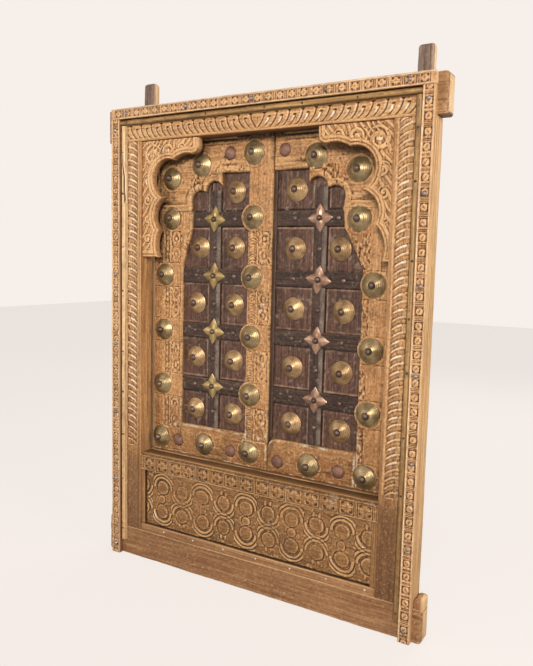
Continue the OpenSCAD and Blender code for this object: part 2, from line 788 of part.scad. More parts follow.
module right_cross(i) color(dark_wood) place() on_right()
    cross_batten(i, right_ends[i], right_u - bead_u, right_cols, right_batten, right_lobes);

module left_cross_batten_1() left_cross(0);

module left_cross_batten_2() left_cross(1);

module left_cross_batten_3() left_cross(2);

module left_cross_batten_4() left_cross(3);

module right_cross_batten_1() right_cross(0);

module right_cross_batten_2() right_cross(1);

module right_cross_batten_3() right_cross(2);

module right_cross_batten_4() right_cross(3);

module left_frame_bosses() color(brass) place() on_left() bosses(left_frame_bosses_at, y_leaf, boss_r);

module right_frame_bosses() color(brass) place() on_right() bosses(right_frame_bosses_at, y_leaf, boss_r);

module left_frame_nails() color(iron) place() on_left()
    nails(left_frame_bosses_at, y_leaf - boss_seat(boss_r), nail_r, nail_h, boss_seat(boss_r) + shank_len);

module right_frame_nails() color(iron) place() on_right()
    nails(right_frame_bosses_at, y_leaf - boss_seat(boss_r), nail_r, nail_h, boss_seat(boss_r) + shank_len);

module left_panel_bosses() color(brass) place() on_left()
    bosses(panel_bosses_at(left_cols, left_batten), y_board, panel_boss_r);

module right_panel_bosses() color(brass) place() on_right()
    bosses(panel_bosses_at(right_cols, right_batten), y_board, panel_boss_r);

module left_panel_nails() color(iron) place() on_left()
    nails(panel_bosses_at(left_cols, left_batten), y_board - boss_seat(panel_boss_r), nail_r, nail_h,
        boss_seat(panel_boss_r) + panel_shank);

module right_panel_nails() color(iron) place() on_right()
    nails(panel_bosses_at(right_cols, right_batten), y_board - boss_seat(panel_boss_r), nail_r, nail_h,
        boss_seat(panel_boss_r) + panel_shank);

module stars(at) {
    for (p = stars_at(at)) translate([p[0], y_board - batten_t, p[1]]) star(star_r);
}

module left_stars() color(brass) place() on_left() stars(left_batten);

module right_stars() color(brass) place() on_right() stars(right_batten);

module star_nails(at) {
    nails(stars_at(at), y_board - batten_t - star_seat, nail_r - 1, nail_h, star_seat + batten_t + panel_shank);
}

module left_star_nails() color(iron) place() on_left() star_nails(left_batten);

module right_star_nails() color(iron) place() on_right() star_nails(right_batten);

module left_batten_studs() color(iron) place() on_left()
    nails(batten_studs_at(left_cols, left_batten), y_board - batten_t, batten_stud_r, 3,
        batten_t + panel_shank);

module right_batten_studs() color(iron) place() on_right()
    nails(batten_studs_at(right_cols, right_batten), y_board - batten_t, batten_stud_r, 3,
        batten_t + panel_shank);

module left_rail_studs() color(iron) place() on_left()
    nails(left_rail_studs_at, y_leaf, rail_stud_r, 5, shank_len);

module right_rail_studs() color(iron) place() on_right()
    nails(right_rail_studs_at, y_leaf, rail_stud_r, 5, shank_len);

left_jamb();
right_jamb();
head_beam();
sill_beam();
middle_rail();
carved_panel();
left_panel_bead();
right_panel_bead();
bottom_panel_bead();
left_face_strip();
right_face_strip();
top_face_strip();
left_moulding();
right_moulding();
top_moulding();
left_spandrel();
right_spandrel();
left_post();
right_post();
rear_lintel();
rear_rail();
face_strip_nails();
left_board();
left_hanging_stile();
left_meeting_stile();
left_top_rail();
left_bottom_rail();
left_centre_batten();
left_cross_batten_1();
left_cross_batten_2();
left_cross_batten_3();
left_cross_batten_4();
left_frame_bosses();
left_frame_nails();
left_panel_bosses();
left_panel_nails();
left_stars();
left_star_nails();
left_batten_studs();
left_rail_studs();
right_board();
right_hanging_stile();
right_meeting_bead();
right_top_rail();
right_bottom_rail();
right_centre_batten();
right_cross_batten_1();
right_cross_batten_2();
right_cross_batten_3();
right_cross_batten_4();
right_frame_bosses();
right_frame_nails();
right_panel_bosses();
right_panel_nails();
right_stars();
right_star_nails();
right_batten_studs();
right_rail_studs();
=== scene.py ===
"""Looks of a carved wooden window, modelled round its packed construction.

The construction gives every place and size. Here each wooden member gets its carved and
worn surface, and the metalwork its beaten forms, in the construction's own frame.
"""

import logging
import math
from dataclasses import dataclass, field
from enum import Enum
from functools import cache
from typing import Callable, Iterable, Sequence, Union

import bpy
import numpy as np
from mathutils import Matrix, Vector
from mathutils.geometry import delaunay_2d_cdt


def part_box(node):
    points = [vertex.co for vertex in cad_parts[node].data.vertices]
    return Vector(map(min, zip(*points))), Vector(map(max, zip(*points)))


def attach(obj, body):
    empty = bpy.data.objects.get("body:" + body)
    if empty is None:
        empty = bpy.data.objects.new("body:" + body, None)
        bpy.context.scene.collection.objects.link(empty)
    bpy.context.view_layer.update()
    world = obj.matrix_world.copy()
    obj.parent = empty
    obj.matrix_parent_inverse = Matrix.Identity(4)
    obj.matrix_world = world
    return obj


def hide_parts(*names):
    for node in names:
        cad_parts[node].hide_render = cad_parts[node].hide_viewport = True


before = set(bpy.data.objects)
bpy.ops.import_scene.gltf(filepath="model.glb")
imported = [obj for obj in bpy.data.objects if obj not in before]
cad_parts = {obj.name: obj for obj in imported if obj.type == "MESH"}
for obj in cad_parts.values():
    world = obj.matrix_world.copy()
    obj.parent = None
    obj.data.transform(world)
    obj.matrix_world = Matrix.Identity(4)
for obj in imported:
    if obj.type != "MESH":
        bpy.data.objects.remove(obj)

LOG = logging.getLogger("window")
MM = 0.001
Array = np.ndarray
Span = tuple[float, float]
Place = tuple[float, float, float]
Marks = tuple[Array, Array | float, Array | float]
Shape = tuple[Array, list, Array]
Socket = bpy.types.NodeSocket
Value = Union[Socket, float, Sequence[float]]


class Grain(Enum):
    """Size of the fibres along x, y and z in millimetres.

    Pores are finer than the render shows, so they are drawn about 2.4 mm wide.
    """

    UPRIGHT = (2.381, 2.381, 111.11)
    LEVEL = (111.11, 2.381, 2.381)


class Run(Enum):
    """Direction along which a bar is swept."""

    UPRIGHT = "z"
    LEVEL = "x"


class Carving(Enum):
    """Kind of carving in a field of a stile."""

    LOOPS = "leafy loops"
    RIBS = "fine ribs"
    CHAIN = "chain of drops"
    TORN = "broken carving"


# Colour and node helpers


def linear(hex_code: str) -> tuple[float, float, float, float]:
    """Turn an sRGB hex code into a linear colour.

    Args:
        hex_code: Colour such as "#C8935A".

    Returns:
        Linear red, green, blue and an alpha of one.
    """
    parts = [int(hex_code[i : i + 2], 16) / 255 for i in (1, 3, 5)]
    lin = [p / 12.92 if p <= 0.04045 else ((p + 0.055) / 1.055) ** 2.4 for p in parts]
    return (lin[0], lin[1], lin[2], 1.0)


def add_node(
    tree: bpy.types.NodeTree, kind: str, inputs: dict | None = None, **settings: object
) -> bpy.types.Node:
    """Add a node, set its properties, and fill or link its inputs.

    Args:
        tree: Node tree to add to.
        kind: Node type identifier.
        inputs: Socket name or index to a value or to an output socket.
        settings: Node properties by name.

    Returns:
        The new node.
    """
    node = tree.nodes.new(kind)
    for key, value in settings.items():
        setattr(node, key, value)
    for key, value in (inputs or {}).items():
        socket = node.inputs[key]
        if isinstance(value, bpy.types.NodeSocket):
            tree.links.new(value, socket)
        else:
            socket.default_value = value
    return node


class Shader:
    """Small builder round one material's node tree."""

    def __init__(self, name: str) -> None:
        """Start an empty material.

        Args:
            name: Material name.
        """
        self.material = bpy.data.materials.new(name)
        self.material.use_nodes = True
        self.tree = self.material.node_tree
        self.tree.nodes.clear()
        self.coords = add_node(self.tree, "ShaderNodeTexCoord").outputs["Object"]

    def noise(
        self, size_mm: Sequence[float], detail: float, roughness: float, distortion: float = 0.0
    ) -> Socket:
        """Noise stretched over the object.

        Args:
            size_mm: Size of a patch along each axis in millimetres.
            detail: Octaves.
            roughness: Weight of the finer octaves.
            distortion: Swirl of the pattern.

        Returns:
            The factor socket.
        """
        scale = tuple(1 / (size * MM) for size in size_mm)
        mapped = add_node(self.tree, "ShaderNodeMapping", {"Vector": self.coords, "Scale": scale}).outputs[0]
        inputs = {
            "Vector": mapped, "Scale": 1.0, "Detail": detail, "Roughness": roughness,
            "Distortion": distortion,
        }
        return add_node(self.tree, "ShaderNodeTexNoise", inputs).outputs["Fac"]

    def attribute(self, name: str) -> Socket:
        """Read a vertex attribute by its name."""
        return add_node(self.tree, "ShaderNodeAttribute", attribute_name=name).outputs["Fac"]

    def remap(
        self, value: Value, low: float, high: float, to_low: float = 0.0, to_high: float = 1.0
    ) -> Socket:
        """Map the range from low to high of a value to another range, clamped."""
        inputs = {"Value": value, "From Min": low, "From Max": high, "To Min": to_low, "To Max": to_high}
        return add_node(self.tree, "ShaderNodeMapRange", inputs).outputs["Result"]

    def math(self, operation: str, a: Value, b: Value) -> Socket:
        """Combine two values by one of the math node's operations."""
        return add_node(self.tree, "ShaderNodeMath", {0: a, 1: b}, operation=operation).outputs[0]

    def mix(self, factor: Value, a: Value, b: Value) -> Socket:
        """Mix a first colour with a second one, by the second one's weight."""
        return add_node(self.tree, "ShaderNodeMix", {0: factor, 6: a, 7: b}, data_type="RGBA").outputs[2]

    def height(self) -> Socket:
        """Object height in metres."""
        return add_node(self.tree, "ShaderNodeSeparateXYZ", {0: self.coords}).outputs["Z"]

    def finish(
        self, color: Value, roughness: Value, bump: Value, bump_mm: float, metallic: float = 0.0,
        specular: float = 0.5,
    ) -> bpy.types.Material:
        """Close the tree with a principled surface.

        Args:
            color: Base colour or socket.
            roughness: Value or socket.
            bump: Height socket.
            bump_mm: Bump depth in millimetres.
            metallic: Metallic weight.
            specular: Specular level.

        Returns:
            The material.
        """
        relief = {"Height": bump, "Distance": bump_mm * MM, "Strength": 1.0}
        normal = add_node(self.tree, "ShaderNodeBump", relief).outputs[0]
        inputs = {"Base Color": color, "Roughness": roughness, "Metallic": metallic}
        inputs |= {"Specular IOR Level": specular, "Normal": normal}
        surface = add_node(self.tree, "ShaderNodeBsdfPrincipled", inputs)
        add_node(self.tree, "ShaderNodeOutputMaterial", {"Surface": surface.outputs[0]})
        return self.material


# Sizes of the patterns in millimetres: weathered patches, water stains, chips of lime, tarnish and rust spots
PATCH_MM = (111.11, 111.11, 142.86)
STAIN_MM = (45.455, 45.455, 62.5)
CHIP_MM = (2.381,) * 3
TARNISH_MM = (18.182,) * 3
SPOT_MM = (3.8462,) * 3


@dataclass(frozen=True)
class WoodFinish:
    """Colours and wear of a kind of wood."""

    name: str
    light: str
    mid: str
    dark: str
    crevice: str
    low_tone: str
    low_from: float = 0.02
    low_to: float = 0.42
    low_weight: float = 0.0
    soot_and_shade: str = "#4A3020"
    edge: str = "#E2BE8C"
    grime: str = "#6A4A30"
    grime_weight: float = 0.35
    chalk_and_sheen: str = "#F4EEDF"
    rough: float = 0.56
    specular: float = 0.35
    bump_mm: float = 0.9
    streak: float = 1.0
    speckle: float = 0.4

    @cache
    def make(self, grain: Grain) -> bpy.types.Material:
        """Build the material for one fibre direction, once.

        Args:
            grain: Direction of the fibres.

        Returns:
            The material.
        """
        sh = Shader(f"{self.name}, {grain.name.lower()} grain")
        fine = sh.noise(grain.value, 4.0, 0.65, 0.3)
        broad = sh.noise([6 * g for g in grain.value], 3.0, 0.5, 0.6)
        patch = sh.noise(PATCH_MM, 3.0, 0.55)
        speck = sh.noise([1 / (0.14 + 0.25 / g) for g in grain.value], 4.0, 0.7)
        color = sh.mix(sh.remap(broad, 0.34, 0.66), linear(self.mid), linear(self.light))
        color = sh.mix(sh.remap(fine, 0.48, 0.62, 0.0, 0.72 * self.streak), color, linear(self.dark))
        color = sh.mix(sh.remap(fine, 0.46, 0.33, 0.0, 0.5 * self.streak), color, linear(self.edge))
        color = sh.mix(sh.remap(patch, 0.45, 0.75, 0.0, 0.55), color, linear(self.mid))
        level = sh.math("ADD", sh.height(), sh.remap(patch, 0.2, 0.8, -0.12, 0.12))
        low = sh.remap(level, self.low_from, self.low_to, 1.0, 0.0)
        color = sh.mix(sh.math("MULTIPLY", low, self.low_weight), color, linear(self.low_tone))
        stain = sh.noise(STAIN_MM, 5.0, 0.65)
        color = sh.mix(sh.remap(stain, 0.5, 0.74, 0.0, self.grime_weight), color, linear(self.grime))
        color = sh.mix(sh.remap(speck, 0.5, 0.72, 0.0, self.speckle), color, linear(self.dark))
        color = sh.mix(sh.remap(speck, 0.46, 0.28, 0.0, self.speckle * 0.6), color, linear(self.edge))
        cavity = sh.attribute("cavity")
        # The soot mark darkens with grime and with painted shade in recesses, along joints and under
        # overhangs.
        shade_and_soot = sh.math("MULTIPLY", sh.attribute("soot_and_shade"), sh.remap(stain, 0.3, 0.7, 1.0, 0.6))
        color = sh.mix(shade_and_soot, color, linear(self.soot_and_shade))
        # Painted shade in the carving's hollows, along with dirt, in the crevice colour; painted highlight on
        # ridges and rounded corners, along with wear, in the edge colour.
        color = sh.mix(sh.remap(cavity, 0.47, 0.14, 0.0, 0.92), color, linear(self.crevice))
        color = sh.mix(sh.remap(cavity, 0.54, 0.85, 0.0, 0.65), color, linear(self.edge))
        chips = sh.noise(CHIP_MM, 3.0, 0.6)
        chalk_and_sheen = sh.math("MULTIPLY", sh.attribute("chalk_and_sheen"), sh.remap(chips, 0.36, 0.56, 0.25, 1.0))
        color = sh.mix(chalk_and_sheen, color, linear(self.chalk_and_sheen))
        rough = sh.remap(fine, 0.3, 0.8, self.rough - 0.08, self.rough + 0.14)
        fibres = sh.math("ADD", sh.math("MULTIPLY", fine, 0.5), sh.math("MULTIPLY", broad, 0.4))
        return sh.finish(color, rough, sh.math("ADD", fibres, speck), self.bump_mm, 0.0, self.specular)


@dataclass(frozen=True)
class MetalFinish:
    """Colours and wear of a kind of metal."""

    name: str
    bright: str
    dull: str
    dirt_and_shade: str
    rough: float = 0.36
    metallic: float = 1.0
    bump_mm: float = 0.25
    dirt_and_shade_from: float = 0.5

    @cache
    def make(self) -> bpy.types.Material:
        """Build the material, once.

        Returns:
            The material.
        """
        sh = Shader(self.name)
        patch = sh.noise(TARNISH_MM, 4.0, 0.6)
        spots = sh.noise(SPOT_MM, 4.0, 0.65)
        color = sh.mix(sh.remap(patch, 0.36, 0.66), linear(self.dull), linear(self.bright))
        # Cavity marks darken in the dirt colour: patina in hollows, and painted shade where the marks paint
        # it.
        crevice = sh.remap(sh.attribute("cavity"), self.dirt_and_shade_from, 0.08, 0.0, 0.95)
        grime = sh.math("MAXIMUM", crevice, sh.remap(spots, 0.6, 0.78, 0.0, 0.7))
        color = sh.mix(grime, color, linear(self.dirt_and_shade))
        worn = sh.remap(patch, 0.3, 0.7, self.rough + 0.08, self.rough - 0.06)
        rough = sh.math("ADD", worn, sh.math("MULTIPLY", grime, 0.25))
        return sh.finish(color, rough, sh.math("ADD", spots, patch), self.bump_mm, self.metallic)


# Chiselled and oiled teak: satin ridges over brown cuts, browner towards the foot
TEAK = WoodFinish(
    "Carved teak", "#CA9E6C", "#A6764B", "#764B28", "#472811", "#5F3B20", low_to=0.34, low_weight=0.95,
    soot_and_shade="#3A2314", speckle=0.5,
)
# The same teak painted lighter than on the jambs and head: a lit copy
SPANDREL_TEAK = WoodFinish(
    "Carved teak spandrel", "#D5A976", "#B28053", "#7F522D", "#4E2C13", "#694225", low_to=0.34,
    low_weight=0.95, soot_and_shade="#3A2314", speckle=0.5,
)
# The same teak painted paler still for the left spandrel, which the lamps leave darker: a lit copy
PALE_SPANDREL = WoodFinish(
    "Carved teak spandrel, painted lit", "#E6BC8A", "#C49264", "#90623A", "#65401F", "#805530", low_to=0.34,
    low_weight=0.85, soot_and_shade="#4A301C", speckle=0.5,
)
# Teak browner low down, with near black cuts and pale edges
PANEL_TEAK = WoodFinish(
    "Carved teak, browned", "#B68B59", "#93683F", "#644222", "#241306", "#6A4626", edge="#D2A776",
    low_weight=0.8, low_to=0.32, soot_and_shade="#24150B", speckle=0.6,
)
# Paler teak of the nailed strips
STRIP_TEAK = WoodFinish(
    "Carved teak strip", "#D6AC80", "#B6875E", "#835634", "#3E2412", "#8A5E3A", low_weight=0.5, speckle=0.5
)
# Waxed half-round: smoother, with a yellow shine, and a near black soot colour for the painted shade down its
# sides
MOULD_TEAK = WoodFinish(
    "Waxed teak moulding", "#BA9562", "#957043", "#694929", "#26170A", "#644528", soot_and_shade="#22140A",
    edge="#DDB87C", low_weight=0.5, rough=0.46,
)
# Half-round bleached by sun: straw coloured and dull
PALE_MOULD = WoodFinish(
    "Bleached teak moulding", "#EACBA0", "#D0A878", "#A27850", "#3A2412", "#A07850", soot_and_shade="#2A190D",
    edge="#F2D9B4", low_weight=0.4,
)
# Teak worn by hands: uneven, with dark grease and broken fibres
LEAF_TEAK = WoodFinish(
    "Carved teak, handled", "#D2A472", "#AE7B4D", "#7A4C29", "#452611", "#7C5029", low_from=0.22, low_to=0.36,
    low_weight=0.75, soot_and_shade="#24150B", grime="#5A381F", grime_weight=0.5, bump_mm=1.4, streak=0.65, speckle=0.6,
)
# Plain sawn teak, weathered: dull and grey brown
GREY_TEAK = WoodFinish(
    "Weathered teak", "#B48A62", "#926845", "#634029", "#301D10", "#7C5438", low_weight=0.5, low_to=0.12,
    grime_weight=0.5, rough=0.68, bump_mm=1.1,
)
# Bare hardwood left outdoors: grey, rough and matt
POST_WOOD = WoodFinish(
    "Weathered hardwood", "#8A7366", "#665248", "#43342E", "#221915", "#5A463A", edge="#B9A795",
    grime="#42342E", grime_weight=0.6, rough=0.72, bump_mm=1.2,
)
# Stained boards: red brown, with dusty edges
DARK_WOOD = WoodFinish(
    "Dark stained wood", "#67493C", "#493229", "#2C1D17", "#0D0705", "#453029", edge="#9A7763",
    grime="#2A1A16", grime_weight=0.6, chalk_and_sheen="#B8A294", rough=0.5, specular=0.25, bump_mm=1.2, streak=0.8,
    speckle=0.6,
)
# Smoke-dark battens: nearly black, with a faint shine; the chalk colour also paints a grey sheen on the
# centre batten's bevel
BLACK_WOOD = WoodFinish(
    "Blackened hardwood", "#43312A", "#2F221C", "#1A120E", "#080505", "#35261F", edge="#7C6253",
    grime="#5C473D", grime_weight=0.45, chalk_and_sheen="#A39488", rough=0.5, specular=0.25, bump_mm=1.2, streak=0.8,
    speckle=0.6,
)
# Saw-cut ends: pale, thirsty and matt; also put on some right-facing sides as painted light
END_GRAIN = WoodFinish(
    "Teak end grain", "#EFD4AA", "#DCB587", "#A9835A", "#4A3019", "#B48C64", low_weight=0.3, rough=0.75,
    bump_mm=0.8,
)
# Planed teak for right-facing sides, painted paler for the light on that side: pale, with long streaks
FLANK_TEAK = WoodFinish(
    "Teak side, painted lit", "#E0BC8B", "#C59A69", "#946A40", "#4A3019", "#A47C56", low_weight=0.4, rough=0.7,
    streak=1.4,
)
# Spun brass with old tarnish: olive gold, dark in its grooves
BRASS = MetalFinish("Aged brass", "#A9946C", "#725F40", "#2A1E12", rough=0.33, metallic=0.6)
# Spun brass rubbed by hands: warmer and brighter
PANEL_BRASS = MetalFinish("Rubbed brass", "#BA9A70", "#7E6241", "#30200F", rough=0.34, metallic=0.55)
# Cast brass without lacquer: matt and yellow
YELLOW_BRASS = MetalFinish("Matt yellow brass", "#B59D6A", "#866F43", "#3A2A12", rough=0.38, metallic=0.62)
# Brass rich in copper: pink brown
COPPERY = MetalFinish("Aged copper-toned brass", "#B3917A", "#80614E", "#332219", rough=0.38, metallic=0.62)
# Forged iron: dark, hammered, with a low shine
IRON = MetalFinish("Forged iron", "#6C5850", "#46362F", "#1D1411", rough=0.38, metallic=0.5, bump_mm=0.5)
# Forged iron with rubbed crowns
STUD_IRON = MetalFinish(
    "Rubbed forged iron", "#796055", "#523F37", "#1D1411", rough=0.36, metallic=0.5, bump_mm=0.5,
    dirt_and_shade_from=0.62,
)
# Iron under old rust: brown, rough and matt
RUST_IRON = MetalFinish(
    "Rust-brown iron", "#8E6858", "#65463A", "#33201A", rough=0.5, metallic=0.35, bump_mm=1.6, dirt_and_shade_from=0.62
)
# Iron rubbed clean: grey with a soft shine
PALE_IRON = MetalFinish("Rubbed iron", "#968C8A", "#6B605C", "#382C26", rough=0.42, metallic=0.8, bump_mm=0.3)
# Drawn wire, still bright: small pale dots
BRIGHT_IRON = MetalFinish(
    "Bright wire nail", "#DAD4CE", "#A9A29C", "#5A4C42", rough=0.35, metallic=0.5, bump_mm=0.2
)
# Small rusted heads: nearly black
BRAD_IRON = MetalFinish("Rusted iron", "#4E4634", "#3A3226", "#1F1912", rough=0.6, metallic=0.5)


# Number fields for carving


def lattice(ix: Array, iy: Array, seed: int) -> Array:
    """Repeatable random values on whole-number places.

    Args:
        ix: First place numbers.
        iy: Second place numbers.
        seed: Which pattern.

    Returns:
        Values from 0 to 1.
    """
    h = (ix.astype(np.int64) * 374761393 + iy.astype(np.int64) * 668265263 + seed * 974711) & 0xFFFFFFFF
    h = ((h ^ (h >> 13)) * 1274126177) & 0xFFFFFFFF
    return ((h ^ (h >> 16)) & 0xFFFF) / 65535.0


def noise(a: Array, b: Array, size: float, seed: int = 0) -> Array:
    """Smooth random field.

    Args:
        a: First coordinate in millimetres.
        b: Second coordinate in millimetres.
        size: Size of a patch in millimetres.
        seed: Which pattern.

    Returns:
        Values from -1 to 1.
    """
    p, q = np.asarray(a, float) / size, np.asarray(b, float) / size
    i, j = np.floor(p), np.floor(q)
    f, g = p - i, q - j
    f, g = f * f * (3 - 2 * f), g * g * (3 - 2 * g)
    v00, v10 = lattice(i, j, seed), lattice(i + 1, j, seed)
    v01, v11 = lattice(i, j + 1, seed), lattice(i + 1, j + 1, seed)
    return 2 * ((v00 * (1 - f) + v10 * f) * (1 - g) + (v01 * (1 - f) + v11 * f) * g) - 1


def ramp(x: Array, low: float, high: float) -> Array:
    """Smooth step of x from 0 at low to 1 at high."""
    t = np.clip((x - low) / (high - low), 0, 1)
    return t * t * (3 - 2 * t)


def bead(d: Array, half: float) -> Array:
    """Height of a round bead at a distance from its line, for its half width."""
    return np.sqrt(np.clip(1 - (d / half) ** 2, 0, 1))


def scroll(a: Array, b: Array, radius: float, turns: float, hand: int, phase: float) -> Array:
    """Carved spiral.

    Args:
        a: Coordinate from the eye.
        b: Coordinate from the eye.
        radius: Outer radius.
        turns: Number of coils.
        hand: 1 or -1, the way it winds.
        phase: Turn of the spiral in radians.

    Returns:
        Height from 0 to 1.
    """
    r = np.hypot(a, b)
    coil = 0.5 + 0.5 * np.cos(2 * math.pi * turns * r / radius - hand * np.arctan2(b, a) + phase)
    eye = bead(r, radius * 0.22)
    return np.maximum(ramp(coil, 0.15, 0.75) * ramp(r, radius, radius * 0.86), eye)


def petals(a: Array, b: Array, radius: float, count: int, phase: float = 0.0) -> Array:
    """Carved flower.

    Args:
        a: Coordinate from the centre.
        b: Coordinate from the centre.
        radius: Outer radius.
        count: Number of petals.
        phase: Turn of the flower in radians.

    Returns:
        Height from 0 to 1.
    """
    r, angle = np.hypot(a, b), np.arctan2(b, a) + phase
    edge = radius * (0.72 + 0.28 * np.abs(np.cos(angle * count / 2)))
    lobe = 0.35 + 0.65 * np.abs(np.cos(angle * count / 2)) ** 0.8
    flower = ramp(r, edge, edge * 0.8) * lobe * ramp(r, radius * 0.16, radius * 0.42)
    return np.maximum(flower, bead(r, radius * 0.26))


def blur(grid: Array, cells: int) -> Array:
    """Average a grid over a square window.

    Args:
        grid: Values.
        cells: Half size of the window.

    Returns:
        The averaged values.
    """
    for axis in (0, 1):
        pad = [(0, 0), (0, 0)]
        pad[axis] = (cells + 1, cells)
        total = np.cumsum(np.pad(grid, pad, mode="edge"), axis=axis)
        n = grid.shape[axis]
        high = np.take(total, np.arange(n) + 2 * cells + 1, axis=axis)
        low = np.take(total, np.arange(n), axis=axis)
        grid = (high - low) / (2 * cells + 1)
    return grid


@dataclass
class Relief:
    """Height map of a carved face in millimetres, with its dark and pale marks."""

    s0: float
    t0: float
    step: float
    height: Array
    cavity: Array
    chalk_and_sheen: Array
    soot_and_shade: Array

    @classmethod
    def carve(
        cls, s_range: Span, t_range: Span, step: float, pattern: Callable[[Array, Array], Marks],
        rough: float = 1.0,
    ) -> "Relief":
        """Work out a pattern over a face.

        Args:
            s_range: Extent across the face.
            t_range: Extent along the face.
            step: Grid size.
            pattern: Function of two grids that returns heights, pale marks with a painted sheen among them,
                and dark marks of stains and painted shade.
            rough: Strength of the chisel marks.

        Returns:
            The relief.
        """
        s = np.arange(s_range[0] - 2 * step, s_range[1] + 3 * step, step)
        t = np.arange(t_range[0] - 2 * step, t_range[1] + 3 * step, step)
        grid_s, grid_t = np.meshgrid(s, t, indexing="ij")
        fields = (np.asarray(g, float) for g in pattern(grid_s, grid_t))
        height, chalk_and_sheen, soot_and_shade = (np.broadcast_to(g, grid_s.shape) for g in fields)
        chisel = 0.34 * noise(grid_s, grid_t, 6.0, 3) + 0.26 * noise(grid_s, grid_t, 2.6, 4)
        height = height + rough * chisel
        wide, tight = blur(height, max(1, int(3.2 / step))), blur(height, max(1, int(1.2 / step)))
        cavity = np.clip(0.5 + 0.42 * (height - wide) + 0.62 * (height - tight), 0, 1)
        return cls(s[0], t[0], step, height, cavity, np.clip(chalk_and_sheen, 0, 1), np.clip(soot_and_shade, 0, 1))

    def sample(self, s: Array, t: Array) -> tuple[Array, Array, Array, Array]:
        """Read the relief at places on the face.

        Args:
            s: Places across.
            t: Places along.

        Returns:
            Height, cavity, chalk with a painted sheen among it, and soot with painted shade.
        """
        n, m = self.height.shape
        p = np.clip((s - self.s0) / self.step, 0, n - 1.001)
        q = np.clip((t - self.t0) / self.step, 0, m - 1.001)
        i, j = p.astype(int), q.astype(int)
        f, g = p - i, q - j

        def at(grid: Array) -> Array:
            """Blend the four cells round each place."""
            near = grid[i, j] * (1 - f) + grid[i + 1, j] * f
            far = grid[i, j + 1] * (1 - f) + grid[i + 1, j + 1] * f
            return near * (1 - g) + far * g

        return at(self.height), at(self.cavity), at(self.chalk_and_sheen), at(self.soot_and_shade)


# Carving patterns


def leaf_border(
    along: Array, across: Array, width: float, pitch: float, depth: float, seed: int
) -> tuple[Array, Array]:
    """Row of curved blades that overlap, every other one short, with a drilled eye.

    Args:
        along: Distance along the border, towards the blade tips.
        across: Distance across it, from the root side.
        width: Width of the border.
        pitch: Spacing of the pairs of blades.
        depth: Depth of the carving.
        seed: Which hand variation.

    Returns:
        Heights and pale marks.
    """
    v = np.clip(across / width, 0, 1)
    rise = 11.5 * (1 - (1 - v) ** 2.3)
    drift = 0.8 * noise(along, across, 33.0, seed)
    place = (along - rise + drift) / pitch
    pair = np.floor(place)
    t = place - pair
    short = t < 0.5
    u = np.mod(2 * t, 1.0)
    vary = lattice(2 * pair + short, pair * 0, seed + 9)
    end = 0.58 + 0.2 * vary
    reach = np.where(short, ramp(v, end + 0.08, end - 0.06), 1.0) * ramp(v, 0.0, 0.12)
    hollow = 0.5 * (1 - ramp(u, 0.05, 0.95)) * reach
    blade = -depth * (0.25 + hollow + 0.18 * noise(along, across, 4.5, seed + 5))
    blade = blade - 0.18 * depth * bead(u - 0.62, 0.12) * reach
    eye = bead(np.hypot((t - 0.5) * pitch, (v - end - 0.05) * width), 1.7) * (vary > 0.25)
    height = blade - 0.7 * depth * eye
    edge = np.minimum(across, width - across)
    inside = ramp(edge, -0.4, 0.9)
    taper = np.where(short, 0.05 + 0.11 * ramp(v, 0.02, 0.55), 0.07)
    line = bead(u - (1.0 - taper), taper) * reach * ramp(v, 0.05, 0.16)
    line = line * np.where(short, 1.0, ramp(v, 0.98, 0.9))
    worn = np.clip(0.7 + 0.55 * noise(along, across, 52.0, seed + 2) + 0.5 * (vary - 0.35), 0.12, 1.0)
    return height * inside, ramp(line, 0.15, 0.7) * worn * (edge > 0.6)


def claw_border(
    along: Array, across: Array, width: float, pitch: float, depth: float, seed: int
) -> tuple[Array, Array]:
    """Row of claws that stand upright at the top and sweep in at the foot, with a pit under every hook.

    Args:
        along: Distance along the border, away from its middle.
        across: Distance up from the root side.
        width: Width of the border.
        pitch: Spacing of the claws.
        depth: Depth of the carving.
        seed: Which hand variation.

    Returns:
        Heights and pale marks.
    """
    v = np.clip(across / width, 0, 1)
    sweep = 14.0 * (1 - (1 - v) ** 2.2)
    place = (along - sweep + 1.4 * noise(along, across, 23.0, seed)) / pitch
    unit = np.floor(place)
    u = place - unit
    vary = lattice(unit, unit * 0, seed + 1)
    gap = np.minimum(u, 1 - u) * pitch
    full = bead(gap, 1.9) * ramp(v, 0.02, 0.14)
    short = bead((u - 0.52) * pitch, 1.7) * ramp(v, 0.72, 0.6) * ramp(v, 0.04, 0.16)
    pit = bead(np.hypot((u - 0.42) * pitch / 1.9, (v - 0.67 - 0.05 * vary) * width), 1.9)
    notch = bead(np.hypot(gap / 1.2, (1 - v) * width), 3.2)
    swell = np.where(v > 0.7, np.sin(math.pi * u), np.abs(np.sin(2 * math.pi * u)))
    cut = 0.1 + 0.3 * (1 - swell) + 0.4 * full + 0.4 * short + 0.9 * pit + 0.8 * notch
    height = -depth * np.clip(cut, 0, 1.2)
    stroke = bead((u - 0.42) * pitch, 1.9) * ramp(v, 0.24, 0.32) * ramp(v, 0.62, 0.54) * (0.35 + 0.65 * vary)
    rub = 0.3 * bead(gap - 3.2, 1.2) * ramp(v, 0.1, 0.3)
    edge = np.minimum(across, width - across)
    rub = rub * ramp(noise(along, across, 17.0, seed + 2), -0.2, 0.7)
    return height * ramp(edge, -0.4, 0.9), np.maximum(stroke, rub)


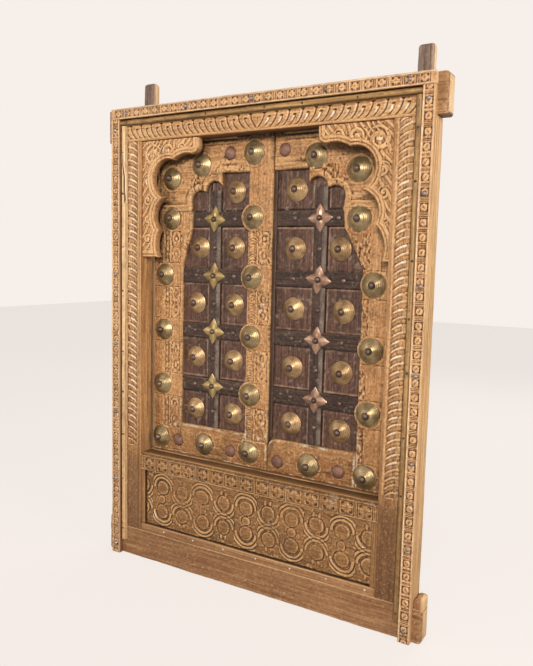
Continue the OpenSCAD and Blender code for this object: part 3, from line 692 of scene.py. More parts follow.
def loops(a: Array, b: Array, half: Span, seed: int) -> Array:
    """Worn pair of leafy loops, one over the other.

    Args:
        a: Distance across from the middle.
        b: Distance up from the middle.
        half: Half width and half height of the field.
        seed: Which hand variation.

    Returns:
        Height from 0 to 1.
    """
    a = a + 1.5 * noise(a, b, 8.0, seed) + 0.6 * noise(a, b, 3.5, seed + 1)
    b = b + 1.6 * noise(a, b, 9.0, seed + 2)
    ring = np.hypot(a / (half[0] * 0.8), (np.abs(b) - half[1] * 0.5) / (half[1] * 0.47))
    line = np.maximum(bead(ring - 0.8, 0.3), 0.85 * bead(ring, 0.36))
    vein = bead(np.mod(np.abs(a) * 0.8 - np.abs(b) * 0.6, 6.0) - 3.0, 1.6) * ramp(ring, 0.98, 1.12)
    return np.maximum(line, 0.75 * vein)


def torn(s: Array, t: Array, seed: int) -> Array:
    """Rough broken carving with pits.

    Args:
        s: Distance across.
        t: Distance along.
        seed: Which hand variation.

    Returns:
        Height, about -1 in the pits and up to 1 on the lumps.
    """
    lumps = 0.8 * noise(s, t, 8.0, seed) + 0.6 * noise(s * 1.4, t * 0.8, 4.0, seed + 1)
    pits = ramp(noise(s, t, 9.0, seed + 2) + 0.4 * noise(s, t, 4.0, seed + 3), 0.2, 0.75)
    return lumps - 1.1 * pits


def square_cells(
    along: Array, across: Array, pitch: float, size: Span, depth: float, cross: bool, seed: int
) -> Array:
    """Row of framed squares with a scroll or a drilled rosette in each, parted by double bars.

    Args:
        along: Distance along the row.
        across: Distance from the middle of the row.
        pitch: Spacing of the squares.
        size: Length along and width across of a square.
        depth: Depth of the carving.
        cross: Whether rosettes are cut rather than scrolls.
        seed: Which hand variation.

    Returns:
        Heights.
    """
    along = along + 0.7 * noise(along, across * 0, 60.0, seed)
    cell = np.floor(along / pitch)
    a = (along - (cell + 0.5) * pitch) / (size[0] / 2)
    b = (across + 0.5 * noise(along, across * 0, 40.0, seed + 1)) / (size[1] / 2)
    turn = np.where(lattice(cell, cell * 0, seed + 2) > 0.2, 1.0, -1.0)
    worn = 0.75 + 0.25 * lattice(cell, cell * 0 + 3, seed)
    edge = np.maximum(np.abs(a), np.abs(b)) - 1
    inside = ramp(edge, 0.02, -0.12)
    r = np.hypot(a, b)
    if cross:
        pits = bead(np.hypot(np.abs(a) - 0.62, np.abs(b) - 0.62), 0.36)
        pits = np.maximum(pits, 0.55 * bead(r, 0.2))
        figure = 0.55 * petals(a, b, 0.95, 4, math.pi / 4)
        cut = 0.35 + 0.8 * pits - figure
    else:
        mark = 0.35 * bead(b - turn * a * 0.8, 0.16) * (r < 0.62)
        cut = 1.15 * ramp(r, 0.84, 0.98) + 0.15 + mark + 0.25 * bead(r - 0.8, 0.12)
    rim = bead(edge - 0.06, 0.14)
    gap = (np.abs(along - (cell + 0.5) * pitch) - size[0] / 2) / max(pitch / 2 - size[0] / 2, 0.1)
    bars = (0.9 * bead(gap - 1.0, 0.2) + 0.9 * bead(gap - 0.46, 0.17)) * ramp(np.abs(b), 1.15, 1.0)
    return -depth * worn * (0.5 * rim + inside * np.clip(cut, 0, 1.3) + 0.75 * bars)


# Mesh making

SHARP_DEG = 40.0
# Largest spacing of points on a bar's plain front, beside its carving, down its sides and on its back
FRONT_MM, BESIDE_MM, SIDE_MM, BACK_MM = 7.0, 3.0, 13.0, 24.0


@dataclass(frozen=True)
class Box:
    """Extent of a construction piece in millimetres."""

    x0: float
    x1: float
    y0: float
    y1: float
    z0: float
    z1: float

    @classmethod
    def of(cls, node: str) -> "Box":
        """Read the extent of a node.

        Args:
            node: Node name.

        Returns:
            Its box.
        """
        lo, hi = (Vector(c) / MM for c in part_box(node))
        return cls(lo.x, hi.x, lo.y, hi.y, lo.z, hi.z)

    @property
    def xs(self) -> Span:
        """Extent across."""
        return self.x0, self.x1

    @property
    def ys(self) -> Span:
        """Extent from front to back."""
        return self.y0, self.y1

    @property
    def zs(self) -> Span:
        """Extent upwards."""
        return self.z0, self.z1

    @property
    def mid(self) -> Span:
        """Middle across and up."""
        return (self.x0 + self.x1) / 2, (self.z0 + self.z1) / 2

    @property
    def front(self) -> Place:
        """Middle of the front."""
        return self.mid[0], self.y0, self.mid[1]

    @property
    def back(self) -> Place:
        """Middle of the back."""
        return self.mid[0], self.y1, self.mid[1]

    @property
    def depth(self) -> float:
        """Length from front to back."""
        return self.y1 - self.y0

    @property
    def radius(self) -> float:
        """Half the width."""
        return (self.x1 - self.x0) / 2

    def along(self, run: Run) -> tuple[Span, Span]:
        """Extents across and along a member that runs upright or level."""
        return (self.xs, self.zs) if run is Run.UPRIGHT else (self.zs, self.xs)


def new_object(
    name: str, verts: Array, faces: list, materials: Sequence[bpy.types.Material],
    indices: Sequence[int] | None = None, marks: dict[str, Array] | None = None,
) -> bpy.types.Object:
    """Make a mesh object from millimetre data.

    Args:
        name: Object name.
        verts: Vertex places in millimetres.
        faces: Vertex numbers of each face.
        materials: Materials in slot order.
        indices: Material slot of each face.
        marks: Vertex attributes by name.

    Returns:
        The object, with outward faces.
    """
    mesh = bpy.data.meshes.new(name)
    mesh.from_pydata((np.asarray(verts) * MM).tolist(), [], faces)
    for material in materials:
        mesh.materials.append(material)
    if indices is not None:
        mesh.polygons.foreach_set("material_index", list(indices))
    for key, values in (marks or {}).items():
        layer = mesh.attributes.new(key, "FLOAT", "POINT")
        layer.data.foreach_set("value", np.asarray(values, np.float32))
    mesh.calc_loop_triangles()
    tris = np.zeros(len(mesh.loop_triangles) * 3, np.int32)
    mesh.loop_triangles.foreach_get("vertices", tris)
    v = np.asarray(verts)[tris.reshape(-1, 3)]
    if np.einsum("ij,ij->i", v[:, 0], np.cross(v[:, 1], v[:, 2])).sum() < 0:
        mesh.flip_normals()
    mesh.polygons.foreach_set("use_smooth", [True] * len(mesh.polygons))
    mesh.set_sharp_from_angle(angle=math.radians(SHARP_DEG))
    mesh.update()
    obj = bpy.data.objects.new(name, mesh)
    bpy.context.scene.collection.objects.link(obj)
    return obj


def settle(obj: bpy.types.Object, body: str, nodes: Iterable[str] = ()) -> None:
    """Tie a piece to its body and the nodes that it stands for.

    Args:
        obj: The piece.
        body: Body that it rides on.
        nodes: Nodes that it replaces.
    """
    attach(obj, body)
    names = list(nodes)
    if names:
        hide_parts(*names)
    LOG.info("%s on %s, %d faces", obj.name, body, len(obj.data.polygons))


@dataclass
class Bar:
    """Straight member with a carved front, swept along its length."""

    name: str
    run: Run
    s: Span
    d: Span
    t: Span
    finish: WoodFinish
    relief: Relief | None = None
    fine: Span | None = None
    fine_step: float = 1.0
    step: float = 1.1
    round_mm: float = 1.6
    wobble: float = 0.35
    seed: int = 1
    end_finish: WoodFinish = END_GRAIN
    section: Callable[[Array, Array], tuple[Array, Array]] | None = None
    grubby: float = 0.0
    grubby_side: int = 0
    end_round: float = 0.0
    flank: WoodFinish | None = None

    @classmethod
    def over(cls, node: str, run: Run, finish: WoodFinish, **settings: object) -> "Bar":
        """Bar that fills a node's box.

        Args:
            node: Node name.
            run: Direction of its length.
            finish: Wood.
            settings: Other fields by name.

        Returns:
            The bar.
        """
        box = Box.of(node)
        across, length = box.along(run)
        return cls(node, run, across, box.ys, length, finish, **settings)

    def ring(self) -> tuple[Array, Array, Array, Array, Array]:
        """Lay out the cross-section.

        Returns:
            Places across, depths, outward normals in both, and weight of the relief.
        """
        s0, s1 = self.s
        d0, d1 = self.d
        r = self.round_mm
        coarse = max(2, int((s1 - s0) / FRONT_MM))
        front = np.linspace(s0 + r, s1 - r, coarse + 1)
        if self.fine:
            low, high = max(self.fine[0], s0 + r), min(self.fine[1], s1 - r)
            middle = np.linspace(low, high, max(2, int((high - low) / self.fine_step)) + 1)
            left, right = np.zeros(0), np.zeros(0)
            if low > s0 + r + 0.1:
                left = np.linspace(s0 + r, low, max(1, int((low - s0 - r) / BESIDE_MM)) + 1)[:-1]
            if high < s1 - r - 0.1:
                right = np.linspace(high, s1 - r, max(1, int((s1 - r - high) / BESIDE_MM)) + 1)[1:]
            front = np.concatenate([left, middle, right])
        rows = [(x, d0, 0.0, -1.0, 1.0) for x in front]

        def corner(cs: float, cd: float, start: float, turns: tuple[int, ...] = (1, 2, 3)) -> None:
            """Add a rounded corner about a centre, in eighths of a half turn."""
            for k in turns:
                c, n = (f(math.radians(start + 22.5 * k)) for f in (math.cos, math.sin))
                rows.append((cs + r * c, cd + r * n, c, n, 0.0))

        depth_steps = max(2, int((d1 - d0) / SIDE_MM))
        plain = max(2, int((s1 - s0) / BACK_MM))
        corner(s1 - r, d0 + r, -90)
        rows += [(s1, d, 1.0, 0.0, 0.0) for d in np.linspace(d0 + r, d1 - r, depth_steps + 1)]
        corner(s1 - r, d1 - r, 0, (2,))
        rows += [(x, d1, 0.0, 1.0, 0.0) for x in np.linspace(s1 - r, s0 + r, plain + 1)]
        corner(s0 + r, d1 - r, 90, (2,))
        rows += [(s0, d, -1.0, 0.0, 0.0) for d in np.linspace(d1 - r, d0 + r, depth_steps + 1)]
        corner(s0 + r, d0 + r, 180)
        return tuple(np.array(rows).T)

    def build(self) -> bpy.types.Object:
        """Sweep the section into a closed mesh.

        Returns:
            The object.
        """
        s, d, ns, nd, weight = self.ring()
        t0, t1 = self.t
        lead = self.end_round or self.round_mm * 0.8
        inner = np.linspace(t0 + lead, t1 - lead, max(2, int((t1 - t0 - 2 * lead) / self.step)) + 1)
        turn = np.linspace(0, math.pi / 2, 6 if self.end_round else 2)[:-1]
        past, drawn = lead * (1 - np.cos(turn)), lead * (1 - np.sin(turn))
        t = np.concatenate([t0 + past, inner, t1 - past[::-1]])
        inset = np.concatenate([drawn, np.zeros(len(inner)), drawn[::-1]])
        grid_s, grid_t = np.meshgrid(s, t, indexing="xy")
        out = np.zeros_like(grid_s)
        cavity, chalk_and_sheen, soot_and_shade = np.full_like(grid_s, 0.5), np.zeros_like(grid_s), np.zeros_like(grid_s)
        # Rounded corners lean to the edge colour: painted highlight along with rubbed wear.
        cavity += 0.16 * (np.abs(ns * nd) > 0.2)[None, :]
        if self.relief is not None:
            h, c, p, k = self.relief.sample(grid_s, grid_t)
            out += h * weight[None, :]
            cavity = np.where(weight[None, :] > 0, c, cavity)
            chalk_and_sheen, soot_and_shade = p * weight[None, :], k * weight[None, :]
        # Painted shade down the chosen side walls, from just behind the front edge.
        shade_band = ramp(d, self.d[0] + 0.5, self.d[0] + min(6.0, 0.25 * (self.d[1] - self.d[0])))
        shade_band = shade_band * (np.abs(ns) > 0.9) * (ns * self.grubby_side >= 0)
        soot_and_shade = np.maximum(soot_and_shade, self.grubby * shade_band[None, :])
        soot_and_shade[0] = soot_and_shade[-1] = 0.0
        place = grid_s + 3.7 * d[None, :]
        waves = noise(place, grid_t, 46.0, self.seed), noise(place, grid_t, 13.0, self.seed + 1)
        out += self.wobble * waves[0] + 0.4 * self.wobble * waves[1]
        ps, pd = grid_s + out * ns[None, :], d[None, :] + out * nd[None, :]
        mid_s, mid_d = sum(self.s) / 2, sum(self.d) / 2
        ps = mid_s + (ps - mid_s) * (1 - 2 * inset[:, None] / (self.s[1] - self.s[0]))
        pd = mid_d + (pd - mid_d) * (1 - 2 * inset[:, None] / (self.d[1] - self.d[0]))
        if self.section is not None:
            ps, pd = self.section(ps, pd)
        if self.run is Run.UPRIGHT:
            verts = np.stack([ps, pd, grid_t], axis=-1)
        else:
            verts = np.stack([grid_t, pd, ps], axis=-1)
        rings, n = grid_s.shape
        base = (np.arange(rings - 1)[:, None] * n + np.arange(n)[None, :]).ravel()
        nxt = (np.arange(rings - 1)[:, None] * n + (np.arange(n)[None, :] + 1) % n).ravel()
        quads = np.stack([base, nxt, nxt + n, base + n], axis=1).tolist()
        caps = [list(range(n - 1, -1, -1)), [(rings - 1) * n + i for i in range(n)]]
        grain = Grain[self.run.name]
        slots = [f.make(grain) for f in (self.finish, self.end_finish, self.flank or self.finish)]
        # Faces turned to the right take the flank wood: a paler copy that paints the light on that side.
        side = np.where((ns > 0.8) & (np.roll(ns, -1) > 0.8), 2, 0)
        indices = np.tile(side, rings - 1).tolist() + [1, 1]
        marks = {"cavity": cavity.ravel(), "chalk_and_sheen": chalk_and_sheen.ravel(), "soot_and_shade": soot_and_shade.ravel()}
        return new_object(self.name, verts.reshape(-1, 3), quads + caps, slots, indices, marks)


def segment_distance(px: Array, pz: Array, loop: Array) -> Array:
    """Distance from places to a closed outline.

    Args:
        px: First coordinates.
        pz: Second coordinates.
        loop: Outline points.

    Returns:
        Distances.
    """
    best = np.full(px.shape, 1e9)
    for (ax, az), (bx, bz) in zip(loop, np.roll(loop, -1, axis=0)):
        ex, ez = bx - ax, bz - az
        k = np.clip(((px - ax) * ex + (pz - az) * ez) / max(ex * ex + ez * ez, 1e-9), 0, 1)
        best = np.minimum(best, np.hypot(px - ax - k * ex, pz - az - k * ez))
    return best


def inside_loop(px: Array, pz: Array, loop: Array) -> Array:
    """Test whether places lie in a closed outline.

    Args:
        px: First coordinates.
        pz: Second coordinates.
        loop: Outline points.

    Returns:
        True where inside.
    """
    result = np.zeros(px.shape, bool)
    for (ax, az), (bx, bz) in zip(loop, np.roll(loop, -1, axis=0)):
        crosses = (az > pz) != (bz > pz)
        result ^= crosses & (px < (bx - ax) * (pz - az) / ((bz - az) or 1e-9) + ax)
    return result


def resample(loop: Array, step: float) -> Array:
    """Add points along an outline, keeping its corners.

    Args:
        loop: Outline points.
        step: Largest spacing.

    Returns:
        The finer outline.
    """
    points = []
    for a, b in zip(loop, np.roll(loop, -1, axis=0)):
        n = max(1, int(math.ceil(np.hypot(*(b - a)) / step)))
        points += [a + (b - a) * k / n for k in range(n)]
    return np.array(points)


@dataclass
class Plate:
    """Flat shaped member with a carved front."""

    name: str
    outline: Array
    d: Span
    finish: WoodFinish
    grain: Grain
    relief: Relief | None = None
    step: float = 1.4
    round_mm: float = 1.8
    wobble: float = 0.3
    seed: int = 1
    joint: float | None = None

    def build(self) -> bpy.types.Object:
        """Mesh the outline and carve its front.

        Returns:
            The object.
        """
        loop = resample(self.outline, self.step * 1.1)
        low, high = loop.min(0), loop.max(0)
        columns, levels = (np.arange(low[k], high[k], self.step) for k in (0, 1))
        gx, gz = np.meshgrid(columns, levels, indexing="ij")
        gx = gx + np.where(np.arange(gx.shape[1]) % 2 == 0, 0.25, -0.25)[None, :] * self.step
        px, pz = gx.ravel(), gz.ravel()
        keep = inside_loop(px, pz, loop)
        px, pz = px[keep], pz[keep]
        keep = segment_distance(px, pz, loop) > 0.55 * self.step
        px, pz = px[keep], pz[keep]
        n = len(loop)
        points = np.concatenate([loop, np.stack([px, pz], axis=1)])
        hem = [(i, (i + 1) % n) for i in range(n)]
        coords, _, tris, *_ = delaunay_2d_cdt([Vector(p) for p in points], hem, [], 1, 1e-5)
        flat = np.array([tuple(c) for c in coords])
        dist = segment_distance(flat[:, 0], flat[:, 1], loop)
        r = self.round_mm
        drop = r - np.sqrt(np.clip(r * r - np.clip(r - dist, 0, r) ** 2, 0, None))
        if self.joint is not None:
            drop = drop * ramp(np.abs(flat[:, 1] - self.joint), 0.5, r + 1.0)
        cavity, chalk_and_sheen, soot_and_shade = np.full(len(flat), 0.5), np.zeros(len(flat)), np.zeros(len(flat))
        height = np.zeros(len(flat))
        if self.relief is not None:
            height, cavity, chalk_and_sheen, soot_and_shade = self.relief.sample(flat[:, 0], flat[:, 1])
        height = height + self.wobble * noise(flat[:, 0], flat[:, 1], 38.0, self.seed)
        # The rounded rim leans to the edge colour: painted highlight along with rubbed wear.
        cavity = np.clip(cavity + 0.14 * ramp(dist, r * 1.3, r * 0.3), 0, 1)
        depth = self.d[0] + drop * 0.9 - height * ramp(dist, 0.0, 1.2)
        front = np.stack([flat[:, 0], depth, flat[:, 1]], axis=1)
        rim = list(range(n))
        if len(flat) != len(points):
            rim = [i for i in range(len(flat)) if dist[i] < 1e-4][:n]
        back_coords, _, back_tris, *_ = delaunay_2d_cdt([Vector(flat[i]) for i in rim], hem, [], 1, 1e-5)
        back = np.array([(c[0], self.d[1], c[1]) for c in back_coords])
        verts = np.concatenate([front, back])
        start = len(front)
        faces = [list(t) for t in tris]
        faces += [[rim[i], rim[(i + 1) % n], start + (i + 1) % n, start + i][::-1] for i in range(n)]
        faces += [[start + i for i in reversed(t)] for t in back_tris]
        rest = np.zeros(len(back))
        # Side walls and back are darkened in the crevice and soot colours: painted shade.
        sides = {"cavity": (cavity, 0.36), "chalk_and_sheen": (chalk_and_sheen, 0.0), "soot_and_shade": (soot_and_shade, 0.75)}
        marks = {key: np.concatenate([face, rest + behind]) for key, (face, behind) in sides.items()}
        return new_object(self.name, verts, faces, [self.finish.make(self.grain)], None, marks)


# Reading the construction


def node_mesh(node: str) -> tuple[Array, Array]:
    """Read a construction piece with its split corners joined.

    Args:
        node: Node name.

    Returns:
        Vertex places in millimetres, and triangles.
    """
    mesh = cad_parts[node].data
    co = np.zeros(len(mesh.vertices) * 3)
    mesh.vertices.foreach_get("co", co)
    mesh.calc_loop_triangles()
    tris = np.zeros(len(mesh.loop_triangles) * 3, np.int32)
    mesh.loop_triangles.foreach_get("vertices", tris)
    co = co.reshape(-1, 3) / MM
    cells = np.round(co * 20).astype(np.int64)
    _, first, joined = np.unique(cells, axis=0, return_index=True, return_inverse=True)
    return co[first], joined.ravel()[tris].reshape(-1, 3)


def back_outline(node: str) -> Array:
    """Outline of a piece's flat back, without its holes.

    Args:
        node: Node name.

    Returns:
        Points across and up, counter-clockwise in the front view.
    """
    co, tris = node_mesh(node)
    flat = np.all(np.abs(co[tris][:, :, 1] - co[:, 1].max()) < 0.03, axis=1)
    edges = {(int(t[i]), int(t[(i + 1) % 3])) for t in tris[flat] for i in range(3)}
    follow = {a: b for a, b in edges if (b, a) not in edges}
    best, best_area = None, 0.0
    while follow:
        start, here = follow.popitem()
        chain = [start]
        while here != start and here in follow:
            chain.append(here)
            here = follow.pop(here)
        loop = co[chain][:, [0, 2]]
        area = 0.5 * np.sum(loop[:, 0] * np.roll(loop[:, 1], -1) - np.roll(loop[:, 0], -1) * loop[:, 1])
        if abs(area) > abs(best_area):
            best, best_area = loop, area
    before, after = best - np.roll(best, 1, axis=0), np.roll(best, -1, axis=0) - best
    bend = np.abs(before[:, 0] * after[:, 1] - before[:, 1] * after[:, 0])
    best = best[bend > 1e-4 * np.hypot(*before.T) * np.hypot(*after.T)]
    return best if best_area > 0 else best[::-1]


def islands(node: str) -> list[Box]:
    """Extents of the separate solids in a piece, from low to high.

    Args:
        node: Node name.

    Returns:
        Their boxes.
    """
    co, tris = node_mesh(node)
    label = np.arange(len(co))
    while True:
        low = label[tris].min(axis=1)
        fresh = label.copy()
        np.minimum.at(fresh, tris.ravel(), np.repeat(low, 3))
        fresh = fresh[fresh]
        if np.array_equal(fresh, label):
            break
        label = fresh
    boxes = []
    for key in np.unique(label[tris[:, 0]]):
        part = co[label == key]
        lo, hi = part.min(0), part.max(0)
        boxes.append(Box(lo[0], hi[0], lo[1], hi[1], lo[2], hi[2]))
    return sorted(boxes, key=lambda b: (round(b.z0), b.x0))


# Metalwork, laid out by a node group


def ring_faces(count: int, rings: int) -> list[list[int]]:
    """Faces of rings of points between a first and a last point.

    Args:
        count: Points in a ring.
        rings: Number of rings.

    Returns:
        Vertex numbers of each face.
    """
    faces = [[0, 1 + (i + 1) % count, 1 + i] for i in range(count)]
    for k in range(rings - 1):
        p, q = 1 + k * count, 1 + (k + 1) * count
        faces += [[p + i, p + (i + 1) % count, q + (i + 1) % count, q + i] for i in range(count)]
    last, p = 1 + rings * count, 1 + (rings - 1) * count
    return faces + [[last, p + i, p + (i + 1) % count] for i in range(count)]


def revolve(rows: Sequence[Place], count: int, rim: Callable[[int, int], float] | None = None) -> Shape:
    """Turn a profile about the depth axis.

    Args:
        rows: Radius, depth and cavity of each ring, from the front's middle to the back's.
        count: Points round.
        rim: Change of radius for a ring and a point.

    Returns:
        Vertices, faces and cavity marks.
    """
    verts, marks = [(0.0, rows[0][1], 0.0)], [rows[0][2]]
    for k, (r, y, c) in enumerate(rows[1:-1]):
        for i in range(count):
            a = 2 * math.pi * i / count
            q = r + (rim(k, i) if rim else 0.0)
            verts.append((q * math.cos(a), y, q * math.sin(a)))
            marks.append(c)
    verts.append((0.0, rows[-1][1], 0.0))
    marks.append(rows[-1][2])
    return np.array(verts), ring_faces(count, len(rows) - 2), np.array(marks)


def setter_tree() -> bpy.types.NodeTree:
    """Node group that sets copies of a shape on points, each turned and sized a little differently.

    Returns:
        The node group.
    """
    tree = bpy.data.node_groups.new("Set on points", "GeometryNodeTree")
    kinds = {"Geometry": "Geometry", "Shape": "Object", "Material": "Material", "Seed": "Int"}
    for name in ("Geometry", "Shape", "Material", "Spin", "Lean", "Smallest", "Seed"):
        kind = kinds.get(name, "Float")
        tree.interface.new_socket(name, in_out="INPUT", socket_type=f"NodeSocket{kind}")
    tree.interface.new_socket("Geometry", in_out="OUTPUT", socket_type="NodeSocketGeometry")
    given = add_node(tree, "NodeGroupInput").outputs
    shape = add_node(tree, "GeometryNodeObjectInfo", {"Object": given["Shape"]}).outputs["Geometry"]

    def spread(limit: Socket, step: float) -> Socket:
        """Random value between a limit's negative and the limit."""
        seed = add_node(tree, "ShaderNodeMath", {0: given["Seed"], 1: step}, operation="ADD").outputs[0]
        low = add_node(tree, "ShaderNodeMath", {0: limit, 1: -1.0}, operation="MULTIPLY").outputs[0]
        inputs = {2: low, 3: limit, 8: seed}
        return add_node(tree, "FunctionNodeRandomValue", inputs, data_type="FLOAT").outputs[1]

    angles = {k: spread(given[name], k + 1.0) for k, name in enumerate(("Lean", "Spin", "Lean"))}
    turn = add_node(tree, "ShaderNodeCombineXYZ", angles).outputs[0]
    limits = {2: given["Smallest"], 3: 1.0, 8: given["Seed"]}
    size = add_node(tree, "FunctionNodeRandomValue", limits, data_type="FLOAT").outputs[1]
    copies = {"Points": given["Geometry"], "Instance": shape, "Rotation": turn, "Scale": size}
    placed = add_node(tree, "GeometryNodeInstanceOnPoints", copies).outputs[0]
    plain = add_node(tree, "GeometryNodeRealizeInstances", {0: placed}).outputs[0]
    dressed = {"Geometry": plain, "Material": given["Material"]}
    done = add_node(tree, "GeometryNodeSetMaterial", dressed).outputs[0]
    add_node(tree, "NodeGroupOutput", {0: done})
    return tree


@dataclass(frozen=True)
class Loose:
    """How unevenly copies were set: turn and tilt in radians, smallest scale, and dents in millimetres."""

    spin: float
    lean: float
    smallest: float
    dent: float


BOSS_SET = Loose(math.pi, 0.045, 0.99, 0.4)
STAR_SET = Loose(0.12, 0.03, 0.96, 0.25)
NAIL_SET = Loose(math.pi, 0.06, 0.9, 0.3)
STRIP_SET = Loose(math.pi, 0.08, 0.85, 0.1)
BRAD_SET = Loose(math.pi, 0.1, 0.85, 0.1)
METAL_SHARP_DEG = 46.0


@dataclass
class Setter:
    """Lays out copies of one metal shape and turns them into a plain mesh."""

    tree: bpy.types.NodeTree

    def lay(
        self, name: str, data: Shape, points: Sequence[Place], finish: MetalFinish, loose: Loose, seed: int
    ) -> bpy.types.Object:
        """Set the copies.

        Args:
            name: Name of the new object.
            data: Vertices, faces and cavity marks of the shape.
            points: Places in millimetres.
            finish: Metal of the copies.
            loose: How unevenly they are set.
            seed: Which variation.

        Returns:
            The plain mesh object.
        """
        verts, faces, marks = data
        shape = new_object(f"{name} shape", verts, faces, [], None, {"cavity": marks})
        mesh = bpy.data.meshes.new(name + " points")
        mesh.from_pydata((np.asarray(points) * MM).tolist(), [], [])
        carrier = bpy.data.objects.new(name + " points", mesh)
        bpy.context.scene.collection.objects.link(carrier)
        modifier = carrier.modifiers.new("Set", "NODES")
        modifier.node_group = self.tree
        values = {"Shape": shape, "Material": finish.make(), "Seed": seed}
        values |= {"Spin": loose.spin, "Lean": loose.lean, "Smallest": loose.smallest}
        for item in self.tree.interface.items_tree:
            if item.in_out == "INPUT" and item.name in values:
                modifier[item.identifier] = values[item.name]
        carrier.update_tag()
        graph = bpy.context.evaluated_depsgraph_get()
        made = bpy.data.meshes.new_from_object(carrier.evaluated_get(graph))
        carrier.modifiers.remove(modifier)
        made.name = name
        co = np.zeros(len(made.vertices) * 3)
        made.vertices.foreach_get("co", co)
        co = co.reshape(-1, 3)
        x, z = co[:, 0] / MM, co[:, 2] / MM
        push = loose.dent * (noise(x, z, 9.0, seed) + 0.5 * noise(x, z, 4.0, seed + 1))
        co[:, 1] += push * MM
        made.vertices.foreach_set("co", co.ravel())
        made.polygons.foreach_set("use_smooth", [True] * len(made.polygons))
        made.set_sharp_from_angle(angle=math.radians(METAL_SHARP_DEG))
        obj = bpy.data.objects.new(name, made)
        bpy.context.scene.collection.objects.link(obj)
        for used in (carrier, shape):
            bpy.data.objects.remove(used)
        return obj


def boss_shape(radius: float, rise: float) -> Shape:
    """Spun dome with ring lines and a nicked rim, its back on the zero plane.

    Args:
        radius: Radius of the rim.
        rise: Height of the dome.

    Returns:
        Vertices, faces and cavity marks.
    """
    rows = [(0.0, -rise, 0.2)]
    lines, rings, round_points, nick = (0.36, 0.52, 0.64, 0.76, 0.88), 25, 48, 1.3
    for k in range(2, rings + 1):
        share, rim = k / rings, k == rings
        line = max(bead(np.array(share - at), 0.03) for at in lines)
        dark = 0.34 * line + 0.4 * (share < 0.26) + 0.44 * rim
        rows.append((radius * share, -rise * (1 - share**1.6) + 0.3 * line - 0.5 * rim, 0.58 - dark))
    rows += [(radius * 0.99, 0.0, 0.2), (0.0, 0.0, 0.2)]
    return revolve(rows, round_points, lambda k, i: -nick * (i % 2) if k == rings - 2 else 0.0)


def nail_shape(radius: float, rise: float, shank: float, sides: int, peak: float) -> Shape:
    """Forged nail with its tip at the zero plane.

    Args:
        radius: Radius of the head.
        rise: Height of the head.
        shank: Length behind the head.
        sides: Points round.
        peak: Share of the radius where the crown breaks.

    Returns:
        Vertices, faces and cavity marks.
    """
    end = rise + shank
    rows = [(0.0, 0.0, 0.75), (radius * 0.3, rise * 0.07, 0.72), (radius * peak, rise * 0.3, 0.6)]
    rows += [(radius * 0.9, rise * 0.66, 0.48), (radius, rise * 0.93, 0.3), (radius * 0.97, rise, 0.1)]
    rows += [(radius * 0.4, rise, 0.1), (radius * 0.3, end, 0.1), (0.0, end, 0.1)]
    return revolve(rows, sides, lambda k, i: -0.1 * radius * ((i * 7 + k) % 3 == 0) if k in (2, 3) else 0.0)


def star_edge(radius: float, fold: float) -> float:
    """Distance from a star's centre to its straight side, for a fold of 0 at a tip and 1 between two tips."""
    waist, angle = 0.6 * math.sqrt(0.5), fold * math.pi / 4
    return radius * waist / ((1 - waist) * math.sin(angle) + waist * math.cos(angle))


def star_shape(radius: float, height: float) -> Shape:
    """Four-petalled star with ridged petals, its back on the zero plane.

    Args:
        radius: Radius at the tips.
        height: Height under its nail.

    Returns:
        Vertices, faces and cavity marks.
    """
    count, thick, lip = 48, 1.1, 0.9
    rise = height - thick
    verts, marks = [(0.0, -rise, 0.5)], [0.5]
    shares = (0.2, 0.4, 0.6, 0.8, 0.94, 1.0)
    for k, share in enumerate(shares + (1.0,)):
        behind = k == len(shares)
        for i in range(count):
            a = 2 * math.pi * i / count
            fold = abs(((a / (math.pi / 2) + 0.5) % 1.0) - 0.5) * 2
            edge = star_edge(radius, fold)
            lift = rise * (1 - share) ** 0.8 * (1 - 0.35 * fold) + 1.3 * (1 - fold) ** 2 * (1 - share) + thick
            y = 0.0 if behind else -lift if share < 1 else -lip
            verts.append((edge * share * math.cos(a), y, edge * share * math.sin(a)))
            # Marks paint shade towards the folds between the petals and on the rim, and leave the ridges
            # bright.
            mark = 0.58 - 0.5 * fold * share + 0.15 * (fold < 0.1) - 0.12 * (share > 0.97)
            marks.append(0.2 if behind else mark)
    verts.append((0.0, 0.0, 0.0))
    marks.append(0.2)
    return np.array(verts), ring_faces(count, len(shares) + 1), np.array(marks)


# The window's sub-assemblies


